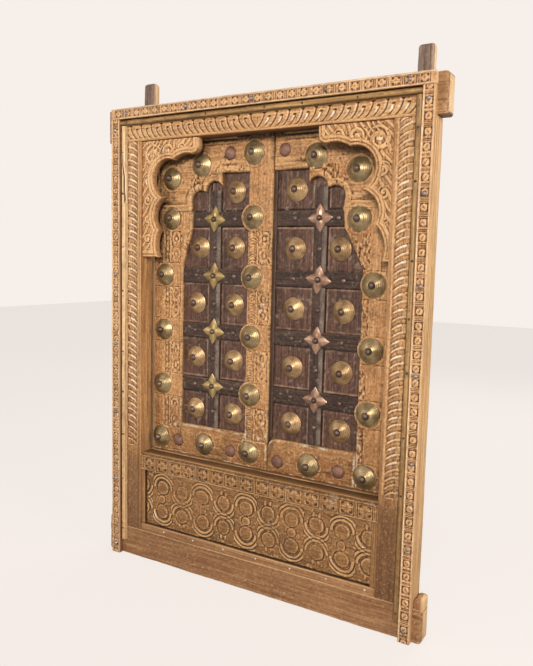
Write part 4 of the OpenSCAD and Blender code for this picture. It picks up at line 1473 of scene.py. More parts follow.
@dataclass
class FaceFrame:
    """Jambs, head, sill, rails, panel, strips, mouldings and brackets of the front."""

    body: str = "frame"
    border_w: float = 26.0
    leaf_pitch: float = 24.7
    border_in: float = 8.0
    border_foot: float = 14.0
    square_pitch: float = 22.4
    rail_pitch: float = 33.0
    border_mid: float = 6.0
    half_wave: float = 49.0
    wave_mid: float = -6.0
    relief_mm: float = 4.0
    dark_foot: Span = (196.0, 232.0)
    split: Span = (716.0, 812.0)
    ledge: float = field(init=False)
    head_z: float = field(init=False)
    rail_z: float = field(init=False)

    def __post_init__(self) -> None:
        """Read the heights that several pieces share."""
        self.ledge = Box.of("bottom_panel_bead").z0
        self.head_z = Box.of("left_spandrel").z1
        self.rail_z = Box.of("middle_rail").z1

    def build(self) -> None:
        """Make every piece of the front frame."""
        self.jambs()
        self.head()
        self.sill()
        self.middle_rail()
        self.panel()
        self.beads()
        self.strips()
        self.mouldings()
        self.spandrels()

    def jambs(self) -> None:
        """Make both jambs with their leaf borders."""
        for side, node in ((-1, "left_jamb"), (1, "right_jamb")):
            box = Box.of(node)
            inner = box.x0 if side > 0 else -box.x1
            start = inner + self.border_in
            foot = self.rail_z + self.border_foot

            def pattern(s: Array, t: Array) -> Marks:
                """Leaf border down the jamb, with nicks."""
                across = s * side - start
                height, pale = leaf_border(t, across, self.border_w, self.leaf_pitch, 2.6, 11 + side)
                inside = ramp(t, foot - 0.6, foot + 0.6) * (across > 0) * (across < self.border_w)
                nicks = -0.5 * ramp(noise(s, t, 24.0, 40 + side), 0.5, 0.9)
                # Painted shade along the border's outer edge by the moulding and beside the jamb's inner
                # edge, and darker towards the foot.
                dirt_and_shade = 0.6 * ramp(across, self.border_w - 1.5, self.border_w + 1.0)
                dirt_and_shade = dirt_and_shade + 0.35 * ramp(across, -5.0, -8.0) + 0.45 * ramp(t, *self.dark_foot[::-1])
                return height * inside + nicks, pale * inside * ramp(t, foot, foot + 90), dirt_and_shade

            relief = Relief.carve(box.xs, (self.ledge, self.head_z), 0.6, pattern)
            low, high = sorted((side * (start - 0.5), side * (start + self.border_w + 0.5)))
            # The right jamb's right side takes the paler flank wood: painted light.
            bar = Bar(
                node, Run.UPRIGHT, box.xs, box.ys, (self.ledge, self.head_z), TEAK, relief, (low, high),
                step=1.4, round_mm=1.2, wobble=0.3, seed=20 + side, flank=FLANK_TEAK if side > 0 else None,
            )
            settle(bar.build(), self.body, [node])

    def head(self) -> None:
        """Make the head beam with its border and horns."""
        box = Box.of("head_beam")
        jamb = Box.of("right_jamb")
        start = box.z0 + 4.0
        run = jamb.x0 + self.border_in + self.border_w

        def pattern(s: Array, t: Array) -> Marks:
            """Claw border that runs both ways from its middle."""
            side = np.where(t < self.border_mid, -1.0, 1.0)
            along = (t - self.border_mid) * side
            height, pale = claw_border(along, s - start, self.border_w, self.leaf_pitch, 2.8, 17)
            inside = (np.abs(t) < run) * (s > start) * (s < start + self.border_w)
            # Painted shade in a band along the top of the border, under the moulding; the horns past the
            # jambs are stained darker.
            shade_band = ramp(s, start + self.border_w - 1, start + self.border_w + 1) * (np.abs(t) < jamb.x1)
            dirt_and_shade = 0.5 * ramp(np.abs(t), jamb.x1 - 1, jamb.x1 + 1) + 0.7 * shade_band
            return height * inside, pale * inside * np.where(t < self.border_mid, 0.3, 1.0), dirt_and_shade

        relief = Relief.carve(box.zs, box.xs, 0.6, pattern)
        bar = Bar(
            "head_beam", Run.LEVEL, box.zs, box.ys, box.xs, TEAK, relief,
            (start - 0.5, start + self.border_w + 0.5), step=1.4, wobble=0.3, seed=24, grubby=1.0,
            end_round=4.5,
        )
        settle(bar.build(), self.body, ["head_beam"])

    def sill(self) -> None:
        """Make the sill with the raised ears at its ends."""
        box, jamb = Box.of("sill_beam"), Box.of("right_jamb")

        def pattern(s: Array, t: Array) -> Marks:
            """Weathered hollows, with painted shade under the bead and dirt outside the jambs."""
            height = -0.7 * ramp(noise(s * 3, t * 0.4, 22.0, 50), 0.3, 0.9)
            # Painted shade in a band under the bead.
            shade_band = ramp(s, self.ledge - 9, self.ledge - 2) * (np.abs(t) < jamb.x1)
            return height, 0.0, 0.15 * ramp(np.abs(t), jamb.x1 - 1, jamb.x1 + 1) + 0.4 * shade_band

        relief = Relief.carve(box.zs, box.xs, 1.0, pattern)
        bar = Bar(
            "sill_beam", Run.LEVEL, (box.z0, self.ledge), box.ys, box.xs, GREY_TEAK, relief,
            (box.z0 + 3, self.ledge - 3), fine_step=3.0, step=3.0, round_mm=2.2, wobble=0.6, seed=26,
            end_round=5.5,
        )
        settle(bar.build(), self.body, ["sill_beam"])
        for side, name in ((-1, "sill_ear_left"), (1, "sill_ear_right")):
            low, high = sorted((side * (jamb.x1 + 0.3), side * box.x1))
            # The right ear's right side takes end grain as its flank: painted light.
            ear = Bar(
                name, Run.UPRIGHT, (low, high), (box.y0 + 0.5, box.y1), (self.ledge - 9, box.z1), GREY_TEAK,
                step=3.0, round_mm=4.0, wobble=0.8, seed=28 + side, end_round=5.5, end_finish=GREY_TEAK,
                flank=END_GRAIN if side > 0 else None,
            )
            settle(ear.build(), self.body)

    def middle_rail(self) -> None:
        """Make the rail over the panel with its row of squares."""
        box = Box.of("middle_rail")
        panel = Box.of("carved_panel")
        bottom = panel.z1
        mid = bottom + (box.z1 - bottom) / 2 - 2
        size = (24.0, 22.0)

        def pattern(s: Array, t: Array) -> Marks:
            """Row of rosettes with patches of grime, and painted shade along both edges."""
            height = square_cells(t + 0.5 * self.rail_pitch, s - mid, self.rail_pitch, size, 2.6, True, 60)
            pale = 0.12 * ramp(noise(s, t, 9.0, 62), 0.6, 0.9)
            dirt_and_shade = 0.3 * ramp(noise(s, t, 26.0, 63), 0.1, 0.8)
            # Painted shade along the top ledge and the bottom edge.
            dirt_and_shade = np.maximum(dirt_and_shade, 0.75 * ramp(s, box.z1 - 9.0, box.z1 - 5.0))
            dirt_and_shade = np.maximum(dirt_and_shade, 0.8 * ramp(s, bottom + 2.0, bottom))
            return height - 0.4 * ramp(noise(s, t, 15.0, 61), 0.2, 0.8), pale, dirt_and_shade

        def slope(ps: Array, pd: Array) -> tuple[Array, Array]:
            """Slope the top edge back."""
            return ps, pd + 6.0 * ramp(ps, box.z1 - 6.5, box.z1) * ramp(pd, box.y0 + 12, box.y0)

        relief = Relief.carve((bottom, box.z1), box.xs, 0.6, pattern)
        bar = Bar(
            "middle_rail", Run.LEVEL, (bottom, box.z1), box.ys, box.xs, PANEL_TEAK, relief,
            (bottom + 2, box.z1 - 2), step=1.45, round_mm=1.4, wobble=0.3, seed=30, section=slope,
            grubby=0.85,
        )
        settle(bar.build(), self.body, ["middle_rail"])
        lip = Bar(
            "rail_lip", Run.LEVEL, (box.z0, bottom + 4), (panel.y1 + 0.2, box.y1 - 0.2), box.xs, GREY_TEAK,
            step=6.0, round_mm=1.2, wobble=0.2, seed=31,
        )
        settle(lip.build(), self.body)

    def panel(self) -> None:
        """Make the bottom panel with its two waving ribbons."""
        box, bead_box = Box.of("carved_panel"), Box.of("bottom_panel_bead")
        rise = 1.5
        mid = (bead_box.z1 + box.z1) / 2
        side_x = Box.of("right_panel_bead").x0
        half = self.half_wave

        def pattern(s: Array, t: Array) -> Marks:
            """Ribbons round two rows of discs, with drops, leaves and incised lines."""
            height, cuts = np.zeros_like(s), np.zeros_like(s)
            rim = np.minimum(np.minimum(s - bead_box.z1, box.z1 - s), side_x - np.abs(t))
            s = s + 1.3 * noise(s, t, 26.0, 75) + 0.5 * noise(s, t, 8.0, 76)
            t = t + 2.2 * noise(s, t, 41.0, 77) + 0.6 * noise(s, t, 9.0, 78)
            cell = np.round((t - self.wave_mid) / half)
            a = t - self.wave_mid - cell * half
            odd = np.mod(cell, 2) != 0
            for sign in (-1, 1):
                b = s - (mid + sign * half / 2)
                up = np.where(odd, -1.0, 1.0) * sign
                ring = np.hypot(a, b)
                for radius, wide in ((half * 0.43, 2.5), (half * 0.565, 2.3)):
                    arc = bead(ring - radius, wide) * ramp(b * up, -1.6, 0.4)
                    height = np.maximum(height, arc)
                disc = (0.6 + 0.15 * noise(s, t, 9.0, 73)) * ramp(ring, half * 0.29, half * 0.24)
                height = np.maximum(height, disc - 0.25 * ramp(noise(s, t, 6.0, 74), 0.2, 0.8) * (disc > 0))
                cuts = np.maximum(cuts, bead(ring - half * 0.31, 1.3))
                for radius in (half * 0.36, half * 0.5, half * 0.63):
                    cuts = np.maximum(cuts, bead(ring - radius, 1.1) * ramp(b * up, -1.6, 0.4))
                drop_a, drop_b = np.abs(np.abs(a) - 5.2), b * up + half * 0.37
                height = np.maximum(height, 0.8 * bead(np.hypot(drop_a, drop_b * 0.55), 2.9))
            spare = ramp(np.abs(np.abs(s - mid) - half / 2), half * 0.1, half * 0.5) * (height < 0.2)
            leafy = ramp(noise(s, t * 0.6, 7.0, 84) + 0.5 * noise(s, t, 3.5, 85), -0.1, 0.6)
            height = np.maximum(height, 0.55 * spare * leafy)
            cuts = cuts * np.clip(0.75 + 0.6 * noise(s, t, 13.0, 86), 0.15, 1.0)
            gap = np.where(odd, half * 2, np.abs(a))
            height = np.maximum(height, 0.85 * ramp(np.hypot(gap, s - mid), half * 0.17, half * 0.14))
            cuts = np.maximum(cuts, 0.9 * bead(np.hypot(gap, s - mid) - half * 0.19, 1.3))
            leaf = np.where(odd, np.abs(a), half * 2)
            height = np.maximum(height, bead(np.hypot(leaf * 1.6, (np.abs(s - mid) - 6.0)), 6.5) * 0.8)
            worn = ramp(noise(s, t, 34.0, 79), 0.9, -0.3)
            ground = 0.35 * ramp(height, 0.35, 0.0)
            height = rise * height * (0.35 + 0.65 * worn) - ground - 1.5 * cuts * (0.3 + 0.7 * worn)
            height = height * ramp(rim, 0.0, 5.0) - 1.2 * ramp(rim, 2.5, 0.5)
            cut = noise(s, t, 17.0, 70)
            pale = ramp(cut, 0.35, 0.85) * ramp(noise(s, t, 4.0, 71), 0.2, 0.7) * (height > 1.2) * 0.8
            # Darker within 5 mm of the panel's edges: painted shade of the surround, with patches of grime.
            dirt_and_shade = np.maximum(0.35 * ramp(noise(s, t, 40.0, 72), 0.2, 0.8), ramp(rim, 5.0, 1.0))
            return height - 0.4 * ramp(cut, -0.4, -0.9), pale, dirt_and_shade

        relief = Relief.carve(box.zs, box.xs, 0.6, pattern)
        bar = Bar(
            "carved_panel", Run.LEVEL, box.zs, (box.y0 + rise, box.y1), box.xs, PANEL_TEAK, relief,
            (box.z0 + 8, box.z1 - 1), fine_step=1.3, step=1.4, round_mm=0.8, wobble=0.2, seed=33,
        )
        settle(bar.build(), self.body, ["carved_panel"])

    def beads(self) -> None:
        """Make the beads round the panel."""
        sides = (("left_panel_bead", Run.UPRIGHT, PANEL_TEAK), ("right_panel_bead", Run.UPRIGHT, PANEL_TEAK))
        for k, (node, run, finish) in enumerate(sides + (("bottom_panel_bead", Run.LEVEL, GREY_TEAK),)):
            bar = Bar.over(node, run, finish, step=4.0, round_mm=2.6, seed=80 + k, grubby=1.0)
            settle(bar.build(), self.body, [node])

    def strips(self) -> None:
        """Make the carved strips round the outside."""
        for k, node in enumerate(("left_face_strip", "right_face_strip", "top_face_strip")):
            box = Box.of(node)
            run = Run.UPRIGHT if node != "top_face_strip" else Run.LEVEL
            s_range, t_range = box.along(run)
            mid, centre = sum(s_range) / 2, sum(t_range) / 2
            count = math.floor((t_range[1] - t_range[0] - 12) / self.square_pitch)

            def pattern(s: Array, t: Array) -> Marks:
                """Row of squares: round bosses down the sides, rosettes along the top."""
                along = t - centre + count * self.square_pitch / 2
                inside = 1.0 if k < 2 else (along > 0) * (along < count * self.square_pitch)
                size = (13.0, 12.5) if k < 2 else (14.0, 13.0)
                height = square_cells(along, s - mid, self.square_pitch, size, 2.6, k == 2, 90 + k) * inside
                rubbed = 0.25 + 0.3 * ramp(noise(s, t, 7.0, 95 + k), 0.2, 0.9)
                pale = rubbed * ramp(np.abs(s - mid), 6.8, 8.2)
                return height, pale, 0.25 * ramp(noise(s, t, 30.0, 97 + k), 0.2, 0.8)

            relief = Relief.carve(s_range, t_range, 0.5, pattern)
            # The right strip's right side takes the paler flank wood: painted light.
            bar = Bar(
                node, run, s_range, box.ys, t_range, STRIP_TEAK, relief, (s_range[0] + 1, s_range[1] - 1),
                fine_step=1.05, step=1.3, round_mm=1.2, seed=100 + k, grubby=1.0,
                grubby_side=1 if k == 0 else -1, flank=FLANK_TEAK if k == 1 else None,
            )
            settle(bar.build(), self.body, [node])

    def mouldings(self) -> None:
        """Make the half-round mouldings inside the strips."""
        for k, node in enumerate(("left_moulding", "right_moulding", "top_moulding")):
            box = Box.of(node)
            run = Run.UPRIGHT if node != "top_moulding" else Run.LEVEL
            s_range, t_range = box.along(run)
            mid, half = sum(s_range) / 2, (s_range[1] - s_range[0]) * 0.5
            edge = (0.74, 0.92) if k == 0 else (0.5, 0.76)

            def dome(ps: Array, pd: Array) -> tuple[Array, Array]:
                """Round the section over."""
                share = np.sqrt(np.clip(1 - ((ps - mid) / half) ** 2, 0.03, 1))
                return ps, box.y1 - (box.y1 - pd) * share

            def pattern(s: Array, t: Array) -> Marks:
                """Painted shade down both sides where the round turns away, patches of grime, and a split in
                the left one.
                """
                crack = bead(s - mid - 3.0 * ramp(t, 800, 730) - noise(t, t * 0, 24.0, 113), 1.5) * (k == 0)
                low, high = self.split
                split = crack * ramp(t, low, low + 8) * ramp(t, high, high - 6)
                # Painted shade on both sides of the round.
                dirt_and_shade = ramp(np.abs(s - mid), half * edge[0], half * edge[1])
                dirt_and_shade = dirt_and_shade + 0.5 * ramp(noise(s, t, 22.0, 114 + k), 0.3, 0.9)
                return -2.6 * split, 0.0, np.clip(dirt_and_shade + split, 0, 1)

            relief = Relief.carve(s_range, t_range, 0.6, pattern)
            finish = PALE_MOULD if k == 0 else MOULD_TEAK
            bar = Bar(
                node, run, s_range, box.ys, t_range, finish, relief, (s_range[0] + 1, s_range[1] - 1),
                fine_step=0.9, step=4.0, round_mm=0.5, wobble=0.3, seed=110 + k, section=dome,
            )
            settle(bar.build(), self.body, [node])

    def spandrels(self) -> None:
        """Make the foiled brackets in the upper corners."""
        scrolls = ((26, 28, 22, 1), (64, 22, 15, -1), (94, 17, 10, 1), (17, 76, 14, -1))
        scrolls += ((15, 150, 12, 1), (14, 112, 12, -1), (44, 52, 12, 1), (14, 186, 11, 1))
        for side, node in ((-1, "left_spandrel"), (1, "right_spandrel")):
            box = Box.of(node)
            jamb_x = box.x1 if side > 0 else box.x0
            outline = resample(back_outline(node), 1.5)
            edge = outline[(np.abs(outline[:, 0] - jamb_x) > 0.5) & (np.abs(outline[:, 1] - box.z1) > 0.5)]

            def pattern(s: Array, t: Array) -> Marks:
                """Fluted edge, and a field of scrolls, veins and drilled eyes."""
                away = np.min(np.hypot(s[..., None] - edge[:, 0], t[..., None] - edge[:, 1]), axis=-1)
                a, b = side * (jamb_x - s), box.z1 - t
                height = 1.5 * bead(away - 3.0, 2.9) + 2.9 * ramp(away, 5.6, 6.4) * ramp(away, 12.4, 11.4)
                groove = 1.1 * np.abs(away - 8.8) / 3.0 * (away > 5.8) * (away < 11.8)
                height = height - groove + 2.0 * ramp(away, 11.4, 12.4)
                field = ramp(away, 11.8, 12.8)
                carve = np.zeros_like(s)
                for x, z, r, hand in scrolls:
                    carve = np.maximum(carve, scroll(a - x, b - z, r, 1.6, hand, x * 0.3))
                sway = a * 0.9 + b * 0.6 + 5 * noise(a, b, 26.0, 120)
                vein = 0.5 + 0.5 * np.cos(2 * math.pi * sway / 11.0)
                carve = np.maximum(carve, 0.62 * ramp(vein, 0.45, 0.8))
                eye = np.hypot(np.mod(a * 0.8 + b * 0.6, 13.0) - 6.5, np.mod(b * 0.8 - a * 0.6, 15.0) - 7.5)
                drilled = bead(eye, 1.8) * ramp(a + b, 90, 60)
                height = height + field * (2.5 * carve - 1.3 - 1.8 * drilled)
                pale = 0.6 * ramp(noise(s, t, 12.0, 121), 0.45, 0.9) * (carve > 0.7) * field
                return height, pale, 0.3 * ramp(noise(s, t, 34.0, 123 + side), 0.2, 0.8)

            relief = Relief.carve(box.xs, box.zs, 0.7, pattern)
            # The left spandrel takes the paler copy: painted light.
            finish = PALE_SPANDREL if side < 0 else SPANDREL_TEAK
            plate = Plate(
                node, outline, (box.y0 + self.relief_mm, box.y1), finish, Grain.UPRIGHT, relief, step=1.35,
                round_mm=1.4, wobble=0.2, seed=122,
            )
            settle(plate.build(), self.body, [node])


@dataclass
class RearFrame:
    """Posts, lintel and rail behind the leaves."""

    body: str = "frame"

    def build(self) -> None:
        """Make the rear frame's members."""
        lintel = Box.of("rear_lintel")
        for k, node in enumerate(("left_post", "right_post")):
            box = Box.of(node)
            # Each post's right side takes end grain as its flank: painted light.
            low = Bar(
                node, Run.UPRIGHT, box.xs, box.ys, (box.z0, lintel.z0), POST_WOOD, step=5.0, round_mm=2.2,
                wobble=0.5, seed=130 + k, flank=END_GRAIN,
            )
            settle(low.build(), self.body, [node])
            across, depth = (box.x0 + 0.2, box.x1 - 0.2), (self.horn_front(node), box.y1)
            top = Bar(
                f"{node}_horn", Run.UPRIGHT, across, depth, (lintel.z0 - 2, box.z1), POST_WOOD, step=4.0,
                round_mm=4.2, wobble=0.9, seed=132 + k, end_round=6.0, end_finish=POST_WOOD, flank=END_GRAIN,
            )
            settle(top.build(), self.body)
        post, other, rail = (Box.of(node) for node in ("left_post", "right_post", "rear_rail"))
        front = self.horn_front("left_post")
        beams = (
            ("rear_lintel", lintel.zs, (lintel.y0, front - 0.1), lintel.xs, ["rear_lintel"]),
            ("rear_lintel_back", lintel.zs, (front - 1.0, lintel.y1), (post.x1 + 0.2, other.x0 - 0.2), []),
            ("rear_rail", rail.zs, rail.ys, rail.xs, ["rear_rail"]),
        )
        for k, (name, across, depth, length, nodes) in enumerate(beams):
            beam = Bar(
                name, Run.LEVEL, across, depth, length, GREY_TEAK, step=6.0, round_mm=1.8, wobble=0.5,
                seed=136 + k,
            )
            settle(beam.build(), self.body, nodes)

    @staticmethod
    def horn_front(node: str) -> float:
        """Depth of the front of a post's thinner horn in millimetres."""
        co, _ = node_mesh(node)
        return float(co[co[:, 2] > co[:, 2].max() - 1.0][:, 1].min())


@dataclass
class Leaf:
    """One shutter leaf: boards, facings, battens and metalwork."""

    side: str
    setter: Setter
    seed: int = 0
    stars: MetalFinish = YELLOW_BRASS
    facings: list[str] = field(default_factory=list)
    carved_to: float = 640.0
    rough: list[Place] = field(default_factory=list)
    pin: float = 7.5
    thick: float = 10.0
    clear: float = 24.5
    bosses: list[Box] = field(init=False)
    top: float = field(init=False)
    pivot_x: float = field(init=False)

    def __post_init__(self) -> None:
        """Read the places that several pieces share."""
        self.bosses = islands(self.node("frame_bosses"))
        self.top = Box.of(self.node("top_rail")).z1
        heel = Box.of(self.node("board"))
        half = heel.depth / 2
        self.pivot_x = heel.x0 + half if self.side == "left" else heel.x1 - half

    @property
    def body(self) -> str:
        """Body that the leaf's pieces ride on."""
        return f"{self.side}_leaf"

    def node(self, part: str) -> str:
        """Full name of the node of one of the leaf's parts."""
        return f"{self.side}_{part}"

    def build(self) -> None:
        """Make every piece of the leaf."""
        self.boards()
        for part in self.facings:
            self.facing(part)
        self.battens()
        self.metal()

    def boards(self) -> None:
        """Make the boards with their heel and pintles."""
        node = self.node("board")
        box = Box.of(node)
        stile = Box.of(self.node("hanging_stile"))
        pivot = self.pivot_x
        low, high = sorted((pivot, box.x1 if self.side == "left" else box.x0))
        cross = [Box.of(self.node(f"cross_batten_{i}")) for i in (1, 2, 3, 4)]
        centre = Box.of(self.node("centre_batten"))

        def pattern(s: Array, t: Array) -> Marks:
            """Squares between the battens, grooved and dusty round their edges, with painted shade beside the
            battens.
            """
            edge = np.full(s.shape, 1e3)
            for b in cross:
                edge = np.minimum(edge, np.abs(np.abs(t - b.mid[1]) - (b.z1 - b.z0) / 2))
            edge = np.minimum(edge, np.abs(np.abs(s - centre.mid[0]) - centre.radius))
            height = -1.3 * ramp(edge, 3.0, 1.8) + 0.3 * bead(edge - 4.2, 1.4)
            height = height - 0.5 * ramp(noise(s, t, 14.0, self.seed + 5), 0.3, 0.9)
            height = height + 0.25 * noise(s * 4, t * 0.3, 9.0, self.seed + 6)
            pale = 0.75 * ramp(noise(s, t, 6.0, self.seed + 7), -0.3, 0.9) * bead(edge - 3.6, 1.3)
            pale = np.maximum(pale, 0.45 * ramp(noise(s, t, 4.5, self.seed + 4), 0.5, 0.95))
            # Painted shade beside the battens.
            return height, pale, ramp(edge, 3.0, 1.6)

        z0, z1 = stile.z0, self.top
        relief = Relief.carve((low, high), (z0, z1), 0.8, pattern)
        bar = Bar(
            node, Run.UPRIGHT, (low, high), box.ys, (z0, z1), DARK_WOOD, relief, (low + 4, high - 4),
            fine_step=2.6, step=3.2, round_mm=1.0, wobble=0.15, seed=self.seed + 8, end_finish=DARK_WOOD,
        )
        settle(bar.build(), self.body, [node])
        r, y = box.depth / 2, (box.y0 + box.y1) / 2
        pin, worn = self.pin, 0.8
        rows = [(0, box.z1), (pin - worn, box.z1), (pin, box.z1 - worn), (pin, z1), (r - 1, z1), (r, z1 - 1)]
        rows += [(r, z0 + 1), (r - 1, z0), (pin, z0), (pin, box.z0 + worn), (pin - worn, box.z0), (0, box.z0)]
        verts, faces, marks = revolve([(a, b, 0.5) for a, b in rows], 28)
        turned = np.stack([verts[:, 0] + pivot, verts[:, 2] + y, verts[:, 1]], axis=1)
        wood = [LEAF_TEAK.make(Grain.UPRIGHT)]
        heel = new_object(f"{self.side}_heel", turned, faces, wood, None, {"cavity": marks})
        settle(heel, self.body)

    def bands(self, part: str) -> list[tuple[float, float, Carving]]:
        """Upright strips of a stile that are carved between its bosses.

        Args:
            part: Which facing.

        Returns:
            Low and high place across, and the kind of carving.
        """
        rail = Box.of(self.node("bottom_rail"))
        if part == "meeting_stile":
            box = Box.of(self.node(part))
            return [(rail.x1 + 2, rail.x1 + 20, Carving.RIBS), (rail.x1 + 22, box.x1 - 2, Carving.LOOPS)]
        if part == "hanging_stile" and self.side == "left":
            return [(rail.x0 - 27, rail.x0 - 3, Carving.LOOPS), (rail.x0 - 43, rail.x0 - 29, Carving.CHAIN)]
        if part == "hanging_stile":
            return [(rail.x1 - 2, rail.x1 + 13, Carving.TORN)]
        return []

    def facing(self, part: str) -> None:
        """Make one carved facing piece.

        Args:
            part: Which facing.
        """
        node = self.node(part)
        box = Box.of(node)
        outline = back_outline(node)
        upright = "stile" in part
        front = box.y1 - self.thick
        loop = resample(outline, 4.0)
        bosses = self.bosses
        rows = sorted(b.mid[1] for b in bosses if box.x0 < b.mid[0] < box.x1) if upright else []
        bands = self.bands(part)
        sign = 1 if self.side == "left" else -1
        shade = back_outline(self.node("spandrel"))

        def pattern(s: Array, t: Array) -> Marks:
            """Carved fields between the bosses, worn, broken and stained, with painted shade round the
            bosses, under the head and spandrel, in pits and along the edges.
            """
            near = np.full(s.shape, 1e3)
            for b in bosses:
                near = np.minimum(near, np.hypot(s - b.mid[0], t - b.mid[1]))
            away = segment_distance(s, t, loop)
            height, pale = np.zeros_like(s), np.zeros_like(s)
            # Painted shade in a ring round each boss's foot, with grime.
            dirt_and_shade = 0.7 * ramp(near, 23.8, 21.0)
            waves = 0.9 * ramp(near, 26.5, 24.0) + 0.7 * noise(s, t, 21.0, self.seed + 22)
            height += waves + 0.45 * noise(s, t, 11.0, self.seed + 23)
            # Painted shadow behind the spandrel and just beyond its outline.
            if box.z1 > shade[:, 1].min():
                behind = np.where(inside_loop(s, t, shade), 0.0, segment_distance(s, t, shade))
                dirt_and_shade = np.maximum(dirt_and_shade, 0.65 * ramp(behind, 7.0, 2.0))
            # Painted shadow of the head across the top.
            dirt_and_shade = np.maximum(dirt_and_shade, ramp(t, self.top - 14.0, self.top - 8.0))
            for row in rows:
                for z in (row - 23.5, row + 23.5):
                    wander = 0.8 * noise(s, t * 0, 22.0, self.seed + 3)
                    line = bead(t - z - wander, 1.0) * ramp(near, 21.0, 23.0)
                    height -= 0.8 * line * ramp(t, self.carved_to, self.carved_to - 20.0)
            for low_s, high_s, kind in bands:
                for below, above in zip(rows, rows[1:]):
                    z0, z1 = below + self.clear, above - self.clear
                    half_s, half_t = (high_s - low_s) / 2, (z1 - z0) / 2
                    if half_t < 8 or (kind is not Carving.TORN and z0 > self.carved_to):
                        continue
                    a, b = s - (low_s + high_s) / 2, t - (z0 + z1) / 2
                    edge = np.maximum(np.abs(a) - half_s, np.abs(b) - half_t)
                    edge = edge + 0.8 * noise(s, t, 9.0, self.seed + 11)
                    inside = ramp(edge, 0.6, -0.8)
                    seed = self.seed + int(below)
                    if kind is Carving.TORN:
                        carve = 0.8 + 0.7 * torn(s, t, seed)
                    elif kind is Carving.RIBS:
                        bow = b + 0.06 * a * a + 0.9 * noise(s, t, 12.0, seed)
                        depth = 0.6 + 0.4 * noise(s, t, 6.0, seed + 1)
                        carve = (0.5 + 0.5 * np.cos(2 * math.pi * bow / 4.9)) * depth
                    elif kind is Carving.CHAIN:
                        link = np.mod(b + 1.2 * noise(s, t, 9.0, seed), 11.0) - 5.5
                        carve = bead(np.hypot(a * 1.3, link), 4.6)
                        carve = np.maximum(carve, 0.7 * bead(np.abs(a) - half_s + 1.2, 1.2))
                    else:
                        carve = loops(a, b, (half_s, half_t), seed)
                    if kind is not Carving.TORN:
                        carve = 0.55 * carve + 0.5 * np.clip(0.5 + 0.9 * noise(s, t, 5.0, seed + 5), 0, 1)
                    worn = ramp(noise(s, t, 34.0, self.seed + 12), 1.0, -0.1)
                    height += inside * (2.8 * carve * (0.4 + 0.6 * worn) - 2.2)
                    rubbed = inside * 0.45 * (carve > 0.75) * ramp(noise(s, t, 7.0, self.seed + 14), 0.3, 0.9)
                    pale = np.maximum(pale, rubbed)
                    # Painted shade in the pits of the broken carving.
                    if kind is Carving.TORN:
                        dirt_and_shade = np.maximum(dirt_and_shade, 0.4 * inside * ramp(carve, 0.6, -0.2))
            if part == "top_rail":
                arch = np.maximum(away, 2.0 * ramp(t, self.top - 22.0, self.top - 8.0) * away)
                meet = np.abs(s - (box.x1 if self.side == "left" else box.x0))
                roll = 1.7 * bead(arch - 6.5, 6.0) - 1.2 * bead(arch - 15.0, 3.0)
                height += roll * ramp(meet, 16.0, 34.0)
            for du, dz, size in self.rough:
                x = self.pivot_x + sign * du
                reach = np.hypot(s - x, t - (self.top - dz)) + 5 * noise(s, t, 9.0, self.seed + 17)
                spot = ramp(reach, size, size * 0.55)
                broken = torn(s, t, self.seed + 18)
                height += spot * (2.0 * broken - 0.9)
                # Painted shade in the pits of the broken spots.
                dirt_and_shade = np.maximum(dirt_and_shade, spot * ramp(broken, -0.2, -1.3) * 0.5)
            dust = bead(away - 2.2, 2.0) * ramp(noise(s, t, 9.0, self.seed + 20), 0.0, 0.7)
            dust = dust * ramp(t, 370.0, 270.0)
            pale = np.maximum(pale, 0.6 * dust)
            stain = 0.55 if part == "bottom_rail" else 0.3
            grease = noise(s, t, 24.0, self.seed + 26) + 0.5 * noise(s, t, 6.0, self.seed + 27)
            dirt_and_shade = np.maximum(dirt_and_shade, stain * ramp(grease, 0.15, 0.9))
            fibre = (2.2, 0.25) if upright else (0.25, 2.2)
            grooves = noise(s * fibre[0], t * fibre[1], 9.0, self.seed + 13)
            height -= 0.5 * ramp(grooves, 0.3, 0.9)
            height -= 1.2 * ramp(noise(s, t, 17.0, self.seed + 15), 0.55, 0.95)
            # Painted shade in a band along the outline, broken up by noise.
            shade_band = 0.7 * ramp(away + 2 * noise(s, t, 12.0, self.seed + 16), 5.0, 0.5)
            dirt_and_shade = np.maximum(dirt_and_shade, shade_band * ramp(noise(s, t, 30.0, self.seed + 21), -0.3, 0.4))
            return height, pale, dirt_and_shade

        relief = Relief.carve(box.xs, box.zs, 0.7, pattern, 1.6)
        grain = Grain.UPRIGHT if upright else Grain.LEVEL
        plate = Plate(
            node, outline, (front, box.y1), LEAF_TEAK, grain, relief, step=1.5,
            round_mm=6.0 if part == "top_rail" else 3.6, wobble=0.5, seed=self.seed + 16,
        )
        if part in ("top_rail", "hanging_stile"):
            plate.joint = Box.of(self.node("hanging_stile")).z1
        settle(plate.build(), self.body, [node])

    def battens(self) -> None:
        """Make the dark battens over the boards."""
        box = Box.of(self.node("centre_batten"))

        def bevel(ps: Array, pd: Array) -> tuple[Array, Array]:
            """Slope the right edge back."""
            cut = np.clip((ps - (box.x1 - 10.0)) / 10.0, 0, 1)
            return ps, box.y1 - (box.y1 - pd) * (1 - 0.42 * cut)

        def dust(s: Array, t: Array) -> Marks:
            """Hollows and specks of dust."""
            specks = ramp(noise(s, t, 3.4, self.seed + 32), 0.45, 0.9)
            specks = specks * ramp(noise(s, t, 15.0, self.seed + 33), -0.2, 0.6)
            return -0.7 * ramp(noise(s, t, 8.0, self.seed + 34), 0.3, 0.9), 0.6 * specks, 0.0

        def dust_and_sheen(s: Array, t: Array) -> Marks:
            """Dust, and a painted grey sheen down the bevelled right edge."""
            height, pale, _ = dust(s, t)
